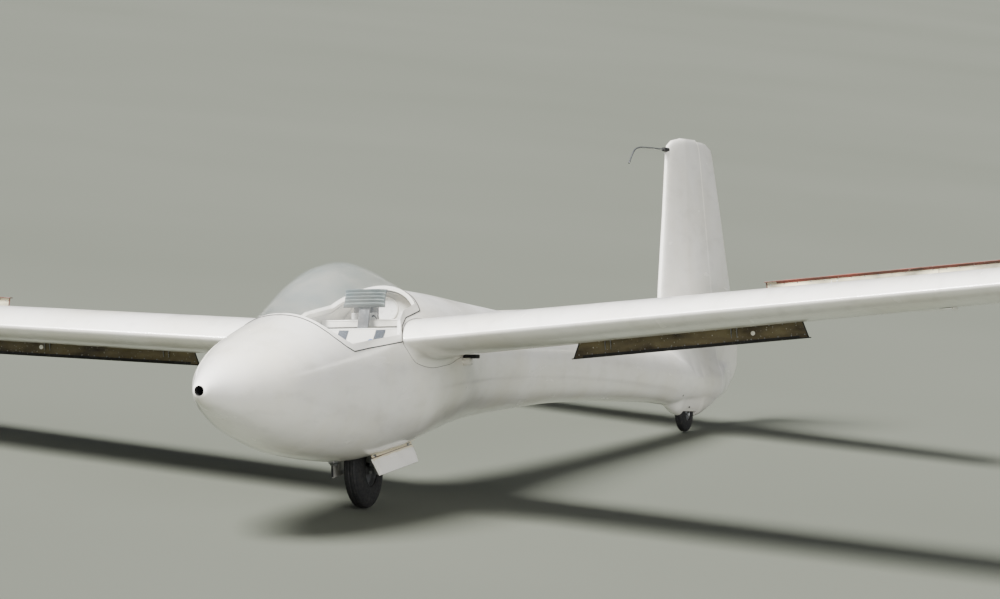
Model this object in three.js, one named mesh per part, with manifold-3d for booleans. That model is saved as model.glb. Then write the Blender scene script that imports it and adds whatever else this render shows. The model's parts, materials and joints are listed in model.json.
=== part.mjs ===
// Single-seat glass-fibre sailplane with extended airbrakes and open wheel doors.
// Millimetres. The airframe is drawn in its own frame: origin at the nose tip,
// +X to port, +Y aft, +Z up. The outer group then stands it as it parks: on its
// main wheel, its tail wheel and its starboard wing tip.
import * as THREE from 'three';
import { mergeVertices } from 'three/addons/utils/BufferGeometryUtils.js';
import { ConvexGeometry } from 'three/addons/geometries/ConvexGeometry.js';
import Module from 'manifold-3d';

const wasm = await Module();
wasm.setup();

const FIT = 0.35; // gap between pieces that are seated on each other
const CLEAR = 5.5; // gap around a piece that moves

const GELCOAT = { color: 0xf1efe9, roughness: 0.18, metalness: 0 };
const INTERIOR = { color: 0xd9d8d2, roughness: 0.6, metalness: 0 };
const GLASS = { color: 0xdfe9ee, roughness: 0.05, metalness: 0, transparent: true, opacity: 0.35 };
const STEEL = { color: 0x8d9093, roughness: 0.4, metalness: 0.9 };
const DARK = { color: 0x2a2a2c, roughness: 0.6, metalness: 0.1 };
const RUBBER = { color: 0x161616, roughness: 0.85, metalness: 0 };
const FABRIC = { color: 0x3d4654, roughness: 0.95, metalness: 0 };
const BRAKE = { color: 0x4c4530, roughness: 0.6, metalness: 0.1 };

// Fuselage stations: y, half width, top z, bottom z, height of the widest line.
const STATION = ['y', 'half', 'top', 'bottom', 'middle'];
const FUSELAGE = [
  [0, 21, 19, -25, -3],
  [12, 33, 32, -37, -1],
  [45, 49, 53, -59, 1],
  [120, 80, 91, -83, 5],
  [300, 155, 164, -135, 15],
  [600, 242, 256, -217, 35],
  [1000, 285, 350, -284, 55],
  [1500, 307, 426, -309, 70],
  [2000, 302, 470, -267, 85],
  [2500, 261, 454, -188, 110],
  [3000, 205, 424, -121, 130],
  [3600, 160, 388, -79, 150],
  [4400, 135, 336, -40, 145],
  [5200, 118, 285, -30, 125],
  [5800, 104, 246, -35, 105],
];
const SQUARENESS = 2.15; // exponent of the fuselage sections
const POD_END = 2640;
const BOOM_END = 5800;
const WALL = 20;

// Top line of the canopy: y, z.
const CANOPY_TOP = [
  [900, 326], [1000, 358], [1100, 400], [1200, 455], [1300, 510], [1450, 556], [1630, 574],
  [1800, 557], [2000, 513], [2200, 470], [2400, 466],
];
// How square the canopy's sections are: y, exponent.
const CANOPY_SQUARENESS = [[900, 2.15], [1050, 2.05], [1300, 1.93], [2250, 1.93]];
// Side view of the canopy's lower edge: y, z.
const CANOPY_EDGE = [
  [862, 420], [900, 300], [922, 262], [960, 226], [1025, 190], [1090, 167], [1257, 184],
  [1640, 215], [1700, 285], [1800, 325], [1930, 345], [2030, 360], [2080, 397], [2190, 475],
  [2420, 640],
];
const FRAME_WIDTH = 34;
const FRAME_DEPTH = 18;
const GLASS_DEPTH = 5;
const CANOPY_SEAM = 1.5;
const CANOPY_SWING = 8; // gap beside the wing root, since the edge swings outward as it opens
const CANOPY_HINGE = { x: -306, y: 1090, z: 170, slope: 0.1727, at: [1180, 1460] };
const CANOPY_EAR = { half: 14, radius: 8, under: 1, over: 8, inner: -262 };
const CANOPY_PIN = { half: 34, radius: 4 };
const CHEEK = { at: 21, half: 4, inner: -262, outer: -313, low: 40, high: 6, across: 7, base: 14, reach: 25 };

const WING = {
  noseY: 1642, noseZ: 208, dihedral: THREE.MathUtils.degToRad(3.99),
  incidence: THREE.MathUtils.degToRad(3.31), camber: 0.03, camberAt: 0.45,
  hollow: 0.0185, hollowFrom: 0.3, blunt: 0.7,
};
// Wing stations: distance from the centre line, chord, thickness over chord.
const WING_STATIONS = [
  [200, 903, 0.197], [1400, 866, 0.19], [3100, 813, 0.184], [4800, 760, 0.178], [6800, 564, 0.17],
  [8400, 406, 0.162], [8780, 352, 0.16], [8870, 250, 0.13],
];
// The wing swells where it leaves the fuselage: distance from the centre line, swelling.
const ROOT_FLARE = [[200, 42], [312, 30], [322, 16], [336, 6], [356, 0]];
const AILERON = { from: 5000, to: 8480, hinge: 0.8, lugs: [5500, 6700, 7900] };
const BRAKES = [
  { name: 'lower', from: 897, to: 2005, side: -1, y: 2163, travel: 78, slant: 34, feet: [148, 738] },
  { name: 'upper', from: 1815, to: 3060, side: 1, y: 2117, travel: 61, slant: 10, feet: [300, 1080] },
];
const BRAKE_SLOT = { wide: 44, spare: 20 };
const BRAKE_BLADE = { inset: 6, half: 2, root: 14, cap: 16, capThick: 4, foot: 40, footAt: [-15, -3] };
const TIP_SKID = {
  x: 8560, share: 0.42, ends: [-60, -40, 40, 60], middle: 50,
  narrow: 6, wide: 12, shallow: 4, deep: 16, rise: 14,
};

// Fin and rudder stations: z, leading edge y, trailing edge y, half thickness.
const FIN = [
  [-26, 6300, 6790, 14], [9, 6200, 6916, 34], [57, 6110, 7047, 44], [104, 6040, 7142, 49],
  [163, 5985, 7201, 51], [258, 5940, 7214, 50], [550, 5984, 7107, 45], [909, 6058, 6973, 38],
  [1229, 6114, 6841, 31], [1262, 6130, 6818, 27], [1289, 6193, 6733, 20], [1306, 6330, 6560, 9],
];
const RUDDER_HINGE = {
  y: 6577, z: 1292, slope: 0.2, bottom: -6, lugs: [200, 620, 1090], from: -60, to: 1340, low: 54, high: 22,
};
const TAIL_CONE = [
  [5800, 104, 246, -35, 105], [6100, 96, 226, -46, 95], [6400, 82, 208, -46, 85],
  [6700, 62, 190, -38, 80], [6930, 44, 170, 8, 95],
];
// Wheel fairing under the tail cone: y, half width, top, bottom, height of the widest line.
const TAIL_FAIRING = [
  [6040, 14, 20, -47, -10], [6100, 32, 30, -62, -20], [6165, 46, 30, -84, -20], [6236, 54, 30, -99, -30],
  [6450, 54, 30, -102, -30], [6546, 46, 30, -91, -20], [6656, 36, 30, -64, -15], [6780, 22, 30, -32, -10],
];
const TAILPLANE = {
  z: 424, tipX: 1416, noseY: 5965, tipNoseY: 6110, chord: 600, tipChord: 370, thick: 0.11, hinge: 0.7,
  lugs: [330, 1180], inboard: 72, tube: 12,
};

const MAIN = { y: 1881, z: -342, tyre: 175, half: 43, rim: 78, axle: 12 };
const WELL = { from: 1690, to: 2242, half: 81, roof: -122, wall: 20 };
const DOOR = {
  from: 1738, to: 2230, x: 91, drop: 5, width: 94, thick: 8, out: { left: 25, right: 3 }, swing: [-58, 10],
};
const DOOR_BLOCK = { inset: 26, across: 6, along: 7, under: 5, over: 30, pin: 3, pinReach: 31 };
const DOOR_KNUCKLE = { radius: 6.5, from: 9, to: 29, pinEnd: 34, notch: [2, 36], leaf: 3, leafTo: 16 };
const TAIL = { y: 6343, z: -81, tyre: 100, half: 25, rim: 44, axle: 7 };
const TAIL_SLOT = { side: 6, ends: 7, roof: 8 };
const NOSE_RING = { inner: 15, outer: 20.6, half: 20, y: 66, z: -3, bore: 21, boreEnd: 130 };
const PROBE = { radius: 4.5, rootY: 6066, tipY: 6135, z: 1240, socket: [10, 13] };

// Cockpit fittings: seat line and panel outlines as y, z or x, z.
const SEAT = [
  [960, -120], [1090, -165], [1250, -205], [1400, -218], [1490, -196], [1560, -120], [1640, -10],
  [1730, 95], [1885, 280],
];
// The head board goes on up from the seat's back.
const HEAD_BOARD = { line: [[1830, 214], [1885, 280], [1905, 345], [1950, 455]], half: 92 };
// Head pad on the board's last stretch: half width, from, to, distance off the board.
const HEAD_PAD = [[100, 36, 116, FIT], [100, 36, 116, 22], [90, 48, 104, 34]];
const SEAT_SHELL = { thick: 9, cushion: 30, half: 330, cushionHalf: 190, lift: 34 };
const PANEL = { from: 948, to: 960, outline: [[150, 20], [175, 90], [150, 185], [80, 232]] };
const HOOD = { from: 890, to: 960, low: [155, 190], high: [80, 236], highFrom: 900 };
const PEDESTAL = { top: [60, 948, 1010, 40], foot: [45, 900, 1020, -290] };
const BULKHEAD = { from: 2190, to: 2204, holeZ: 375, hole: 50 };
const SHELF = { from: 1960, low: 150, high: 158 };
const SHELF_BOX = [60, 190, 2010, 2110, 225];
// Control stick: from y, z, radius; to y, z, radius.
const STICK = [
  [1120, -120, 11, 1150, 80, 11], [1150, 60, 16, 1158, 150, 14], [1117, -172, 24, 1120, -110, 14],
];
const PEDAL_BAR = { y: 430, z: -60, radius: 9 };
const PEDAL = { inner: 45, outer: 105, corners: [[415, 30], [430, 34], [424, -66], [438, -66]] };
const TOW_HOOK = [-18, 18, 1490, 1560, -326, -250];

const materialOf = (look) => new THREE.MeshStandardMaterial(look);

// Shape tools: geometry to solid and back.
function welded(geometry) {
  const bare = geometry.clone();
  for (const name of Object.keys(bare.attributes)) {
    if (name !== 'position') bare.deleteAttribute(name);
  }
  return mergeVertices(bare, 1e-3);
}

function solid(geometry) {
  const merged = welded(geometry);
  const triVerts = new Uint32Array(merged.index.array);
  const vertProperties = new Float32Array(merged.attributes.position.array);
  return new wasm.Manifold(new wasm.Mesh({ numProp: 3, vertProperties, triVerts }));
}

function geometryOf(body) {
  const mesh = body.getMesh();
  const geometry = new THREE.BufferGeometry();
  geometry.setAttribute('position', new THREE.BufferAttribute(new Float32Array(mesh.vertProperties), 3));
  geometry.setIndex(new THREE.BufferAttribute(new Uint32Array(mesh.triVerts), 1));
  return geometry;
}

const join = (...bodies) => bodies.reduce((all, body) => all.add(body));

function hull(points) {
  return solid(new ConvexGeometry(points.map((p) => new THREE.Vector3(...p))));
}

function box(x0, x1, y0, y1, z0, z1) {
  const shape = new THREE.BoxGeometry(x1 - x0, y1 - y0, z1 - z0);
  return solid(shape.translate((x0 + x1) / 2, (y0 + y1) / 2, (z0 + z1) / 2));
}

// A round bar or cone between two points, with its radius at each end.
function bar(from, to, radiusFrom, radiusTo = radiusFrom, sides = 12) {
  const a = new THREE.Vector3(...from);
  const b = new THREE.Vector3(...to);
  const along = b.clone().sub(a);
  const shape = new THREE.CylinderGeometry(radiusTo, radiusFrom, along.length(), sides);
  const turn = new THREE.Quaternion().setFromUnitVectors(new THREE.Vector3(0, 1, 0), along.normalize());
  shape.applyQuaternion(turn);
  const middle = a.add(b).multiplyScalar(0.5);
  return solid(shape.translate(middle.x, middle.y, middle.z));
}

// A closed skin over rings of equal length; the rings run the same way round.
function loft(rings) {
  const count = rings[0].length;
  const positions = rings.flat().flat();
  const index = [];
  for (let i = 0; i < rings.length - 1; i += 1) {
    for (let j = 0; j < count; j += 1) {
      const a = i * count + j;
      const b = i * count + ((j + 1) % count);
      index.push(a, b, b + count, a, b + count, a + count);
    }
  }
  const cap = (ring, reversed) => {
    const middle = [0, 1, 2].map((k) => ring.reduce((sum, p) => sum + p[k], 0) / count);
    const centre = positions.length / 3;
    positions.push(...middle);
    const first = reversed ? 0 : (rings.length - 1) * count;
    for (let j = 0; j < count; j += 1) {
      const a = first + j;
      const b = first + ((j + 1) % count);
      index.push(...(reversed ? [centre, b, a] : [centre, a, b]));
    }
  };
  cap(rings[0], true);
  cap(rings[rings.length - 1], false);
  const geometry = new THREE.BufferGeometry();
  geometry.setAttribute('position', new THREE.Float32BufferAttribute(positions, 3));
  geometry.setIndex(index);
  const body = solid(geometry);
  return body.volume() > 0 ? body : solid(flipped(geometry));
}

function flipped(geometry) {
  const copy = geometry.clone();
  const index = Array.from(copy.index.array);
  for (let i = 0; i < index.length; i += 3) {
    [index[i + 1], index[i + 2]] = [index[i + 2], index[i + 1]];
  }
  copy.setIndex(index);
  return copy;
}

// An outline in side view (y, z) carried across the fuselage from x0 to x1.
function slab(outline, x0, x1) {
  const shape = new THREE.Shape(outline.map(([y, z]) => new THREE.Vector2(y, z)));
  const geometry = new THREE.ExtrudeGeometry(shape, { depth: x1 - x0, bevelEnabled: false, steps: 1 });
  geometry.applyMatrix4(new THREE.Matrix4().makeBasis(
    new THREE.Vector3(0, 1, 0), new THREE.Vector3(0, 0, 1), new THREE.Vector3(1, 0, 0)));
  return solid(geometry.translate(x0, 0, 0));
}

// A turned piece about the X axis; its profile is [distance along X, radius].
function turned(profile, segments = 32) {
  const points = profile.map(([x, r]) => new THREE.Vector2(r, x));
  const geometry = new THREE.LatheGeometry(points, segments).rotateZ(-Math.PI / 2);
  const body = solid(geometry);
  return body.volume() > 0 ? body : solid(flipped(welded(geometry)));
}

// Smooth curve through a table's column, by monotone cubic steps.
function column(table, key, at, inColumn = 0) {
  const xs = table.map((row) => row[inColumn]);
  const ys = table.map((row) => row[key]);
  const last = xs.length - 1;
  if (at <= xs[0]) return ys[0];
  if (at >= xs[last]) return ys[last];
  const slopes = xs.slice(1).map((x, i) => (ys[i + 1] - ys[i]) / (x - xs[i]));
  const tangent = xs.map((_, i) => {
    if (i === 0) return slopes[0];
    if (i === last) return slopes[last - 1];
    const a = slopes[i - 1];
    const b = slopes[i];
    return a * b <= 0 ? 0 : (2 * a * b) / (a + b);
  });
  const i = xs.findIndex((x) => x > at) - 1;
  const h = xs[i + 1] - xs[i];
  const t = (at - xs[i]) / h;
  return ys[i] * (1 + 2 * t) * (1 - t) ** 2 + h * tangent[i] * t * (1 - t) ** 2
    + ys[i + 1] * t * t * (3 - 2 * t) + h * tangent[i + 1] * t * t * (t - 1);
}

// Fuselage rings.
function section({ y, half, top, bottom, middle }, grow = 0, sides = 28, squareness = SQUARENESS) {
  const power = 2 / squareness;
  return Array.from({ length: sides }, (_, i) => {
    const angle = (i / sides) * 2 * Math.PI;
    const c = Math.cos(angle);
    const s = Math.sin(angle);
    const x = (half + grow) * Math.sign(c) * Math.abs(c) ** power;
    const reach = s > 0 ? top - middle + grow : middle - bottom + grow;
    return [x, y, middle + reach * Math.sign(s) * Math.abs(s) ** power];
  });
}

function stationAt(table, y) {
  return Object.fromEntries(STATION.map((name, k) => [name, k === 0 ? y : column(table, k, y)]));
}

function body(table, ys, grow = 0, sides = 28) {
  return loft(ys.map((y) => section(stationAt(table, y), grow, sides)));
}

const POD_YS = [0, 12, 45, 120, 210, 300, 450, 600, 800, 1000, 1250, 1500, 1750, 2000, 2250, 2500, POD_END];
const fuselageRoot = body(FUSELAGE, [...POD_YS.slice(1), 3000], FIT);

// The canopy bulges up from the fuselage side at its lower edge.
function edgeHeight(y) {
  const row = CANOPY_EDGE.findIndex(([at]) => at > y);
  const [y0, z0] = CANOPY_EDGE[Math.max(row - 1, 0)];
  const [y1, z1] = CANOPY_EDGE[Math.max(row, 1)];
  return z0 + ((z1 - z0) * (y - y0)) / (y1 - y0);
}

function domeSection(y, inset, sides = 28) {
  const at = stationAt(FUSELAGE, y);
  const top = column(CANOPY_TOP, 1, y);
  const shape = { ...at, half: at.half, top: Math.max(top, at.middle + 40) };
  return section(shape, -inset, sides, column(CANOPY_SQUARENESS, 1, y));
}

function dome(inset, from, to) {
  const ys = [900, 940, 1000, 1100, 1250, 1450, 1630, 1800, 2000, 2120, 2250];
  const inside = ys.filter((y) => y > from && y < to);
  return loft([from, ...inside, to].map((y) => domeSection(y, inset)));
}

const EDGE_TOP = [[2420, 900], [862, 900]];
const openingOutline = [...CANOPY_EDGE, ...EDGE_TOP];

// The outline moved inward by a distance, corner by corner.
function shrunk(outline, distance) {
  const count = outline.length;
  const normal = (a, b) => {
    const length = Math.hypot(b[0] - a[0], b[1] - a[1]);
    return [-(b[1] - a[1]) / length, (b[0] - a[0]) / length];
  };
  return outline.map((p, i) => {
    const n0 = normal(outline[(i + count - 1) % count], p);
    const n1 = normal(p, outline[(i + 1) % count]);
    const scale = distance / (1 + n0[0] * n1[0] + n0[1] * n1[1]);
    return [p[0] + (n0[0] + n1[0]) * scale, p[1] + (n0[1] + n1[1]) * scale];
  });
}

const group = new THREE.Group();
group.name = 'sailplane';
const airframe = new THREE.Group();
airframe.name = 'airframe';
group.add(airframe);

function add(name, shape, look, holder = airframe) {
  const geometry = geometryOf(shape);
  const origin = holder.userData.pivot ?? [0, 0, 0];
  geometry.translate(-origin[0], -origin[1], -origin[2]);
  const mesh = new THREE.Mesh(geometry, materialOf(look));
  mesh.name = name;
  holder.add(mesh);
  return mesh;
}

// A group that turns or slides: its pivot, its axis and its travel.
function movable(name, pivot, axis, kind, low, high) {
  const holder = new THREE.Group();
  holder.name = name;
  holder.position.set(...pivot);
  holder.userData = { pivot, axis, kind, low, high };
  airframe.add(holder);
  return holder;
}

// Pod: shell with cockpit, wheel well, canopy opening and nose inlet.
const COCKPIT_YS = [170, 300, 450, 600, 800, 1000, 1250, 1500, 1750, 2000, 2250, 2440];
const cavity = body(FUSELAGE, COCKPIT_YS, -WALL);
const wellOuter = box(-WELL.half - WELL.wall, WELL.half + WELL.wall, WELL.from - WELL.wall,
  WELL.to + WELL.wall, -400, WELL.roof + WELL.wall);
const wellInner = box(-WELL.half, WELL.half, WELL.from, WELL.to, -400, WELL.roof);
const cockpitSpace = cavity.subtract(wellOuter);
const boreEnds = [-30, NOSE_RING.boreEnd].map((y) => [0, y, NOSE_RING.z]);
const inletBore = bar(...boreEnds, NOSE_RING.bore, NOSE_RING.bore, 24);
const canopyCut = slab(openingOutline, -420, 420);
let pod = body(FUSELAGE, POD_YS)
  .subtract(cockpitSpace)
  .subtract(wellInner)
  .subtract(canopyCut)
  .subtract(inletBore);

// The wheel doors hang on pins in blocks under the skin, beside the well.
function skinZ(y, x) {
  const at = stationAt(FUSELAGE, y);
  return at.middle - (at.middle - at.bottom) * (1 - (x / at.half) ** SQUARENESS) ** (1 / SQUARENESS);
}
const doorBlocks = [[DOOR.from + DOOR_BLOCK.inset, 1], [DOOR.to - DOOR_BLOCK.inset, -1]];
function doorLineZ(y) {
  const [a, b] = doorBlocks.map(([end]) => ({ y: end, z: skinZ(end, DOOR.x) - DOOR.drop }));
  return a.z + ((b.z - a.z) * (y - a.y)) / (b.y - a.y);
}
for (const side of [1, -1]) {
  for (const [end, inward] of doorBlocks) {
    const x = side * DOOR.x;
    const z = doorLineZ(end);
    const { across, along, under, over, pin, pinReach } = DOOR_BLOCK;
    const block = box(x - across, x + across, end - along, end + along, z - under, z + over);
    const reach = end + inward * pinReach;
    const notch = DOOR_KNUCKLE.notch.map(
      (step) => [x, end + inward * (step + 0.5), doorLineZ(end + inward * step)]);
    pod = pod.subtract(bar(...notch, DOOR_KNUCKLE.radius + CLEAR));
    pod = join(pod, block, bar([x, end, z], [x, reach, doorLineZ(reach)], pin));
  }
}
add('fuselage_pod', pod, GELCOAT);

const boomYs = [POD_END + FIT, 3000, 3300, 3600, 4000, 4400, 4800, 5200, 5500, BOOM_END];
add('tail_boom', body(FUSELAGE, boomYs, 0, 28), GELCOAT);

const ring = turned([
  [-NOSE_RING.half, NOSE_RING.inner], [-NOSE_RING.half, NOSE_RING.outer],
  [NOSE_RING.half, NOSE_RING.outer], [NOSE_RING.half, NOSE_RING.inner], [-NOSE_RING.half, NOSE_RING.inner],
], 24);
add('nose_inlet_ring', ring.rotate([0, 0, 90]).translate([0, NOSE_RING.y, NOSE_RING.z]), DARK);

// Canopy: white frame along the edge, clear dome above it.
const seamOutline = shrunk(openingOutline, CANOPY_SEAM);
const innerOutline = shrunk(openingOutline, FRAME_WIDTH);
const glassOutline = shrunk(openingOutline, FRAME_WIDTH + FIT);
const domeOuter = dome(0, 900, 2250);
const frameShell = domeOuter.subtract(dome(FRAME_DEPTH, 880, 2300));
const glassShell = domeOuter.subtract(dome(GLASS_DEPTH, 880, 2300));
const canopyFrame = frameShell
  .intersect(slab(seamOutline, -420, 420))
  .subtract(slab(innerOutline, -420, 420));
const canopyClear = slab(shrunk(openingOutline, CANOPY_SEAM - CANOPY_SWING), -420, 420);
const canopyGlass = glassShell.intersect(slab(glassOutline, -420, 420));

const hingeZ = (y) => CANOPY_HINGE.z + (y - CANOPY_HINGE.y) * CANOPY_HINGE.slope;
const hingeAxis = new THREE.Vector3(0, -1, -CANOPY_HINGE.slope).normalize();
const canopyHinge = movable('canopy_hinge', [CANOPY_HINGE.x, CANOPY_HINGE.y, CANOPY_HINGE.z],
  hingeAxis.toArray(), 'hinge', 0, 80);
add('canopy_glass', canopyGlass, GLASS, canopyHinge);
const clearOfGlass = dome(-FIT, 900, 2250).intersect(slab(innerOutline, -420, 420));
const podSide = body(FUSELAGE, POD_YS, FIT);
const onHinge = (y) => [CANOPY_HINGE.x, y, hingeZ(y)];
let frameWithEars = canopyFrame;
for (const [n, y] of CANOPY_HINGE.at.entries()) {
  const { half, radius, under, over, inner } = CANOPY_EAR;
  const z = hingeZ(y);
  const arm = box(CANOPY_HINGE.x, inner, y - half, y + half, z - under, z + over);
  const ear = join(bar(onHinge(y - half), onHinge(y + half), radius), arm);
  frameWithEars = frameWithEars.add(ear.subtract(dome(FRAME_DEPTH / 2, 880, 2300)).subtract(clearOfGlass));
  const pinEnds = [onHinge(y - CANOPY_PIN.half), onHinge(y + CANOPY_PIN.half)];
  frameWithEars = frameWithEars.subtract(bar(...pinEnds, CANOPY_PIN.radius + FIT));
  const sill = edgeHeight(y) - CHEEK.low;
  const cheek = (sign) => hull([-1, 1].flatMap((end) => {
    const at = y + sign * (CHEEK.at + end * CHEEK.half);
    const head = [-1, 1].map((across) => [CANOPY_HINGE.x + across * CHEEK.across, at, z + CHEEK.high]);
    return [[CHEEK.outer, at, sill], [CHEEK.inner, at, sill], ...head];
  }));
  const [ahead, behind] = [y - CHEEK.reach, y + CHEEK.reach];
  const base = box(CHEEK.outer, CHEEK.inner, ahead, behind, sill, sill + CHEEK.base);
  const bracket = join(cheek(-1), cheek(1), bar(...pinEnds, CANOPY_PIN.radius), base);
  const clearOfFrame = dome(-3, 900, 2250).intersect(canopyCut);
  const name = n ? 'canopy_hinge_rear' : 'canopy_hinge_front';
  add(name, bracket.subtract(podSide).subtract(clearOfFrame), STEEL);
}
add('canopy_frame', frameWithEars, GELCOAT, canopyHinge);

// Wing section: upper and lower surface over the chord, at a fraction s. The rear of
// the lower surface is hollow.
function wingSurface(s, thickness, upper, camber = WING.camber, hollow = WING.hollow) {
  const q = s ** 1.211;
  const half = (thickness / 0.2) * (0.2969 * Math.sqrt(q) - 0.126 * q - 0.3516 * q * q
    + 0.2843 * q ** 3 - 0.1036 * q ** 4);
  const p = WING.camberAt;
  const line = s < p
    ? (camber / p ** 2) * (2 * p * s - s * s)
    : (camber / (1 - p) ** 2) * (1 - 2 * p + 2 * p * s - s * s);
  const rear = Math.max(s - WING.hollowFrom, 0) / (1 - WING.hollowFrom);
  return upper ? line + half : line - half + hollow * Math.sin(Math.PI * rear) ** 2;
}

const CHORDWISE = [1, 0.8, 0.6, 0.4, 0.22, 0.1, 0.03, 0];

function wingRing(x, chord, thickness, side, flare = 0) {
  const points = [
    ...CHORDWISE.map((s) => [s, true]),
    ...CHORDWISE.slice(1, -1).reverse().map((s) => [s, false]),
    [1, false],
  ];
  return points.map(([s, upper]) => {
    const edge = s === 0 ? 0 : 1 - 0.7 * s ** 4;
    const swell = (s === 1 ? WING.blunt : 0) + flare * edge * (upper ? 0.3 : 1);
    const up = chord * wingSurface(s, thickness, upper) + (upper ? swell : -swell);
    const back = s * chord;
    return [
      side * x,
      WING.noseY + back * Math.cos(WING.incidence) + up * Math.sin(WING.incidence),
      WING.noseZ + x * Math.tan(WING.dihedral) - back * Math.sin(WING.incidence)
        + up * Math.cos(WING.incidence),
    ];
  });
}

function wingAt(x) {
  const row = Math.max(WING_STATIONS.findIndex(([at]) => at > x), 1);
  const [x0, c0, t0] = WING_STATIONS[row - 1];
  const [x1, c1, t1] = WING_STATIONS[row];
  const k = (x - x0) / (x1 - x0);
  return { chord: c0 + (c1 - c0) * k, thickness: t0 + (t1 - t0) * k };
}

function wingLoft(side) {
  const flared = ROOT_FLARE.map(([x, flare]) => {
    const { chord, thickness } = wingAt(x);
    return wingRing(x, chord, thickness, side, flare);
  });
  const outer = WING_STATIONS.slice(1).map(([x, chord, thick]) => wingRing(x, chord, thick, side));
  return loft([...flared, ...outer]);
}

// Point on the wing at a fraction of the chord: the middle and half the depth.
function wingMiddle(x, s, side) {
  const { chord, thickness } = wingAt(x);
  const up = chord * (wingSurface(s, thickness, true) + wingSurface(s, thickness, false)) / 2;
  const half = chord * (wingSurface(s, thickness, true) - wingSurface(s, thickness, false)) / 2;
  const point = [
    side * x,
    WING.noseY + s * chord * Math.cos(WING.incidence) + up * Math.sin(WING.incidence),
    WING.noseZ + x * Math.tan(WING.dihedral) - s * chord * Math.sin(WING.incidence)
      + up * Math.cos(WING.incidence),
  ];
  return { point, half };
}

// Splits a blade at a hinge line into a fixed and a moving piece with pin lugs.
// ends: the two hinge points with the half depth there; up: the thin direction;
// back: from hinge towards the trailing edge; lugs: fractions along the line.
function splitAtHinge(blade, ends, up, back, lugs, reach) {
  const [a, b] = ends.map((end) => new THREE.Vector3(...end.point));
  const axis = b.clone().sub(a);
  const length = axis.length();
  axis.normalize();
  const at = (t, i, j) => a.clone().addScaledVector(axis, t * length)
    .addScaledVector(up, i).addScaledVector(back, j).toArray();
  const inset = CLEAR / length;
  const prism = (t0, t1) => hull([t0, t1].flatMap((t) => [
    at(t, 300, 0), at(t, -300, 0), at(t, 300, reach), at(t, -300, reach),
  ]));
  const [r0, r1] = ends.map((end) => end.half);
  const radius = (t) => r0 + (r1 - r0) * t;
  const moving = blade.intersect(prism(inset, 1 - inset))
    .add(bar(at(inset, 0, 0), at(1 - inset, 0, 0), radius(inset), radius(1 - inset), 12));
  const channel = join(prism(0, 1), bar(at(0, 0, 0), at(1, 0, 0), r0 + CLEAR, r1 + CLEAR, 12));
  let fixedSide = blade.subtract(channel);
  let movingSide = moving;
  const pin = 3.5;
  const thick = 5;
  for (const t of lugs) {
    const r = radius(t);
    const step = (mm) => t + mm / length;
    const eye = Math.min(r * 0.6, 9);
    const notch = hull([step(-thick - CLEAR), step(thick + CLEAR)].flatMap((k) => [
      at(k, 60, -r - 4), at(k, -60, -r - 4), at(k, 60, eye + CLEAR), at(k, -60, eye + CLEAR),
    ]));
    const arm = hull([step(-thick), step(thick)].flatMap((k) => [
      at(k, eye * 0.8, -r - CLEAR - 4), at(k, -eye * 0.8, -r - CLEAR - 4),
      at(k, eye * 0.8, eye * 0.6), at(k, -eye * 0.8, eye * 0.6),
    ]));
    const pinBar = (grow) => bar(at(step(-thick - 22 - grow), 0, 0), at(step(thick + 22 + grow), 0, 0),
      pin + grow, pin + grow, 8);
    fixedSide = join(fixedSide, arm, pinBar(0));
    movingSide = movingSide.subtract(notch).subtract(pinBar(FIT));
  }
  return { fixed: fixedSide, moving: movingSide, pivot: a.toArray(), axis: axis.toArray() };
}

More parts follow.
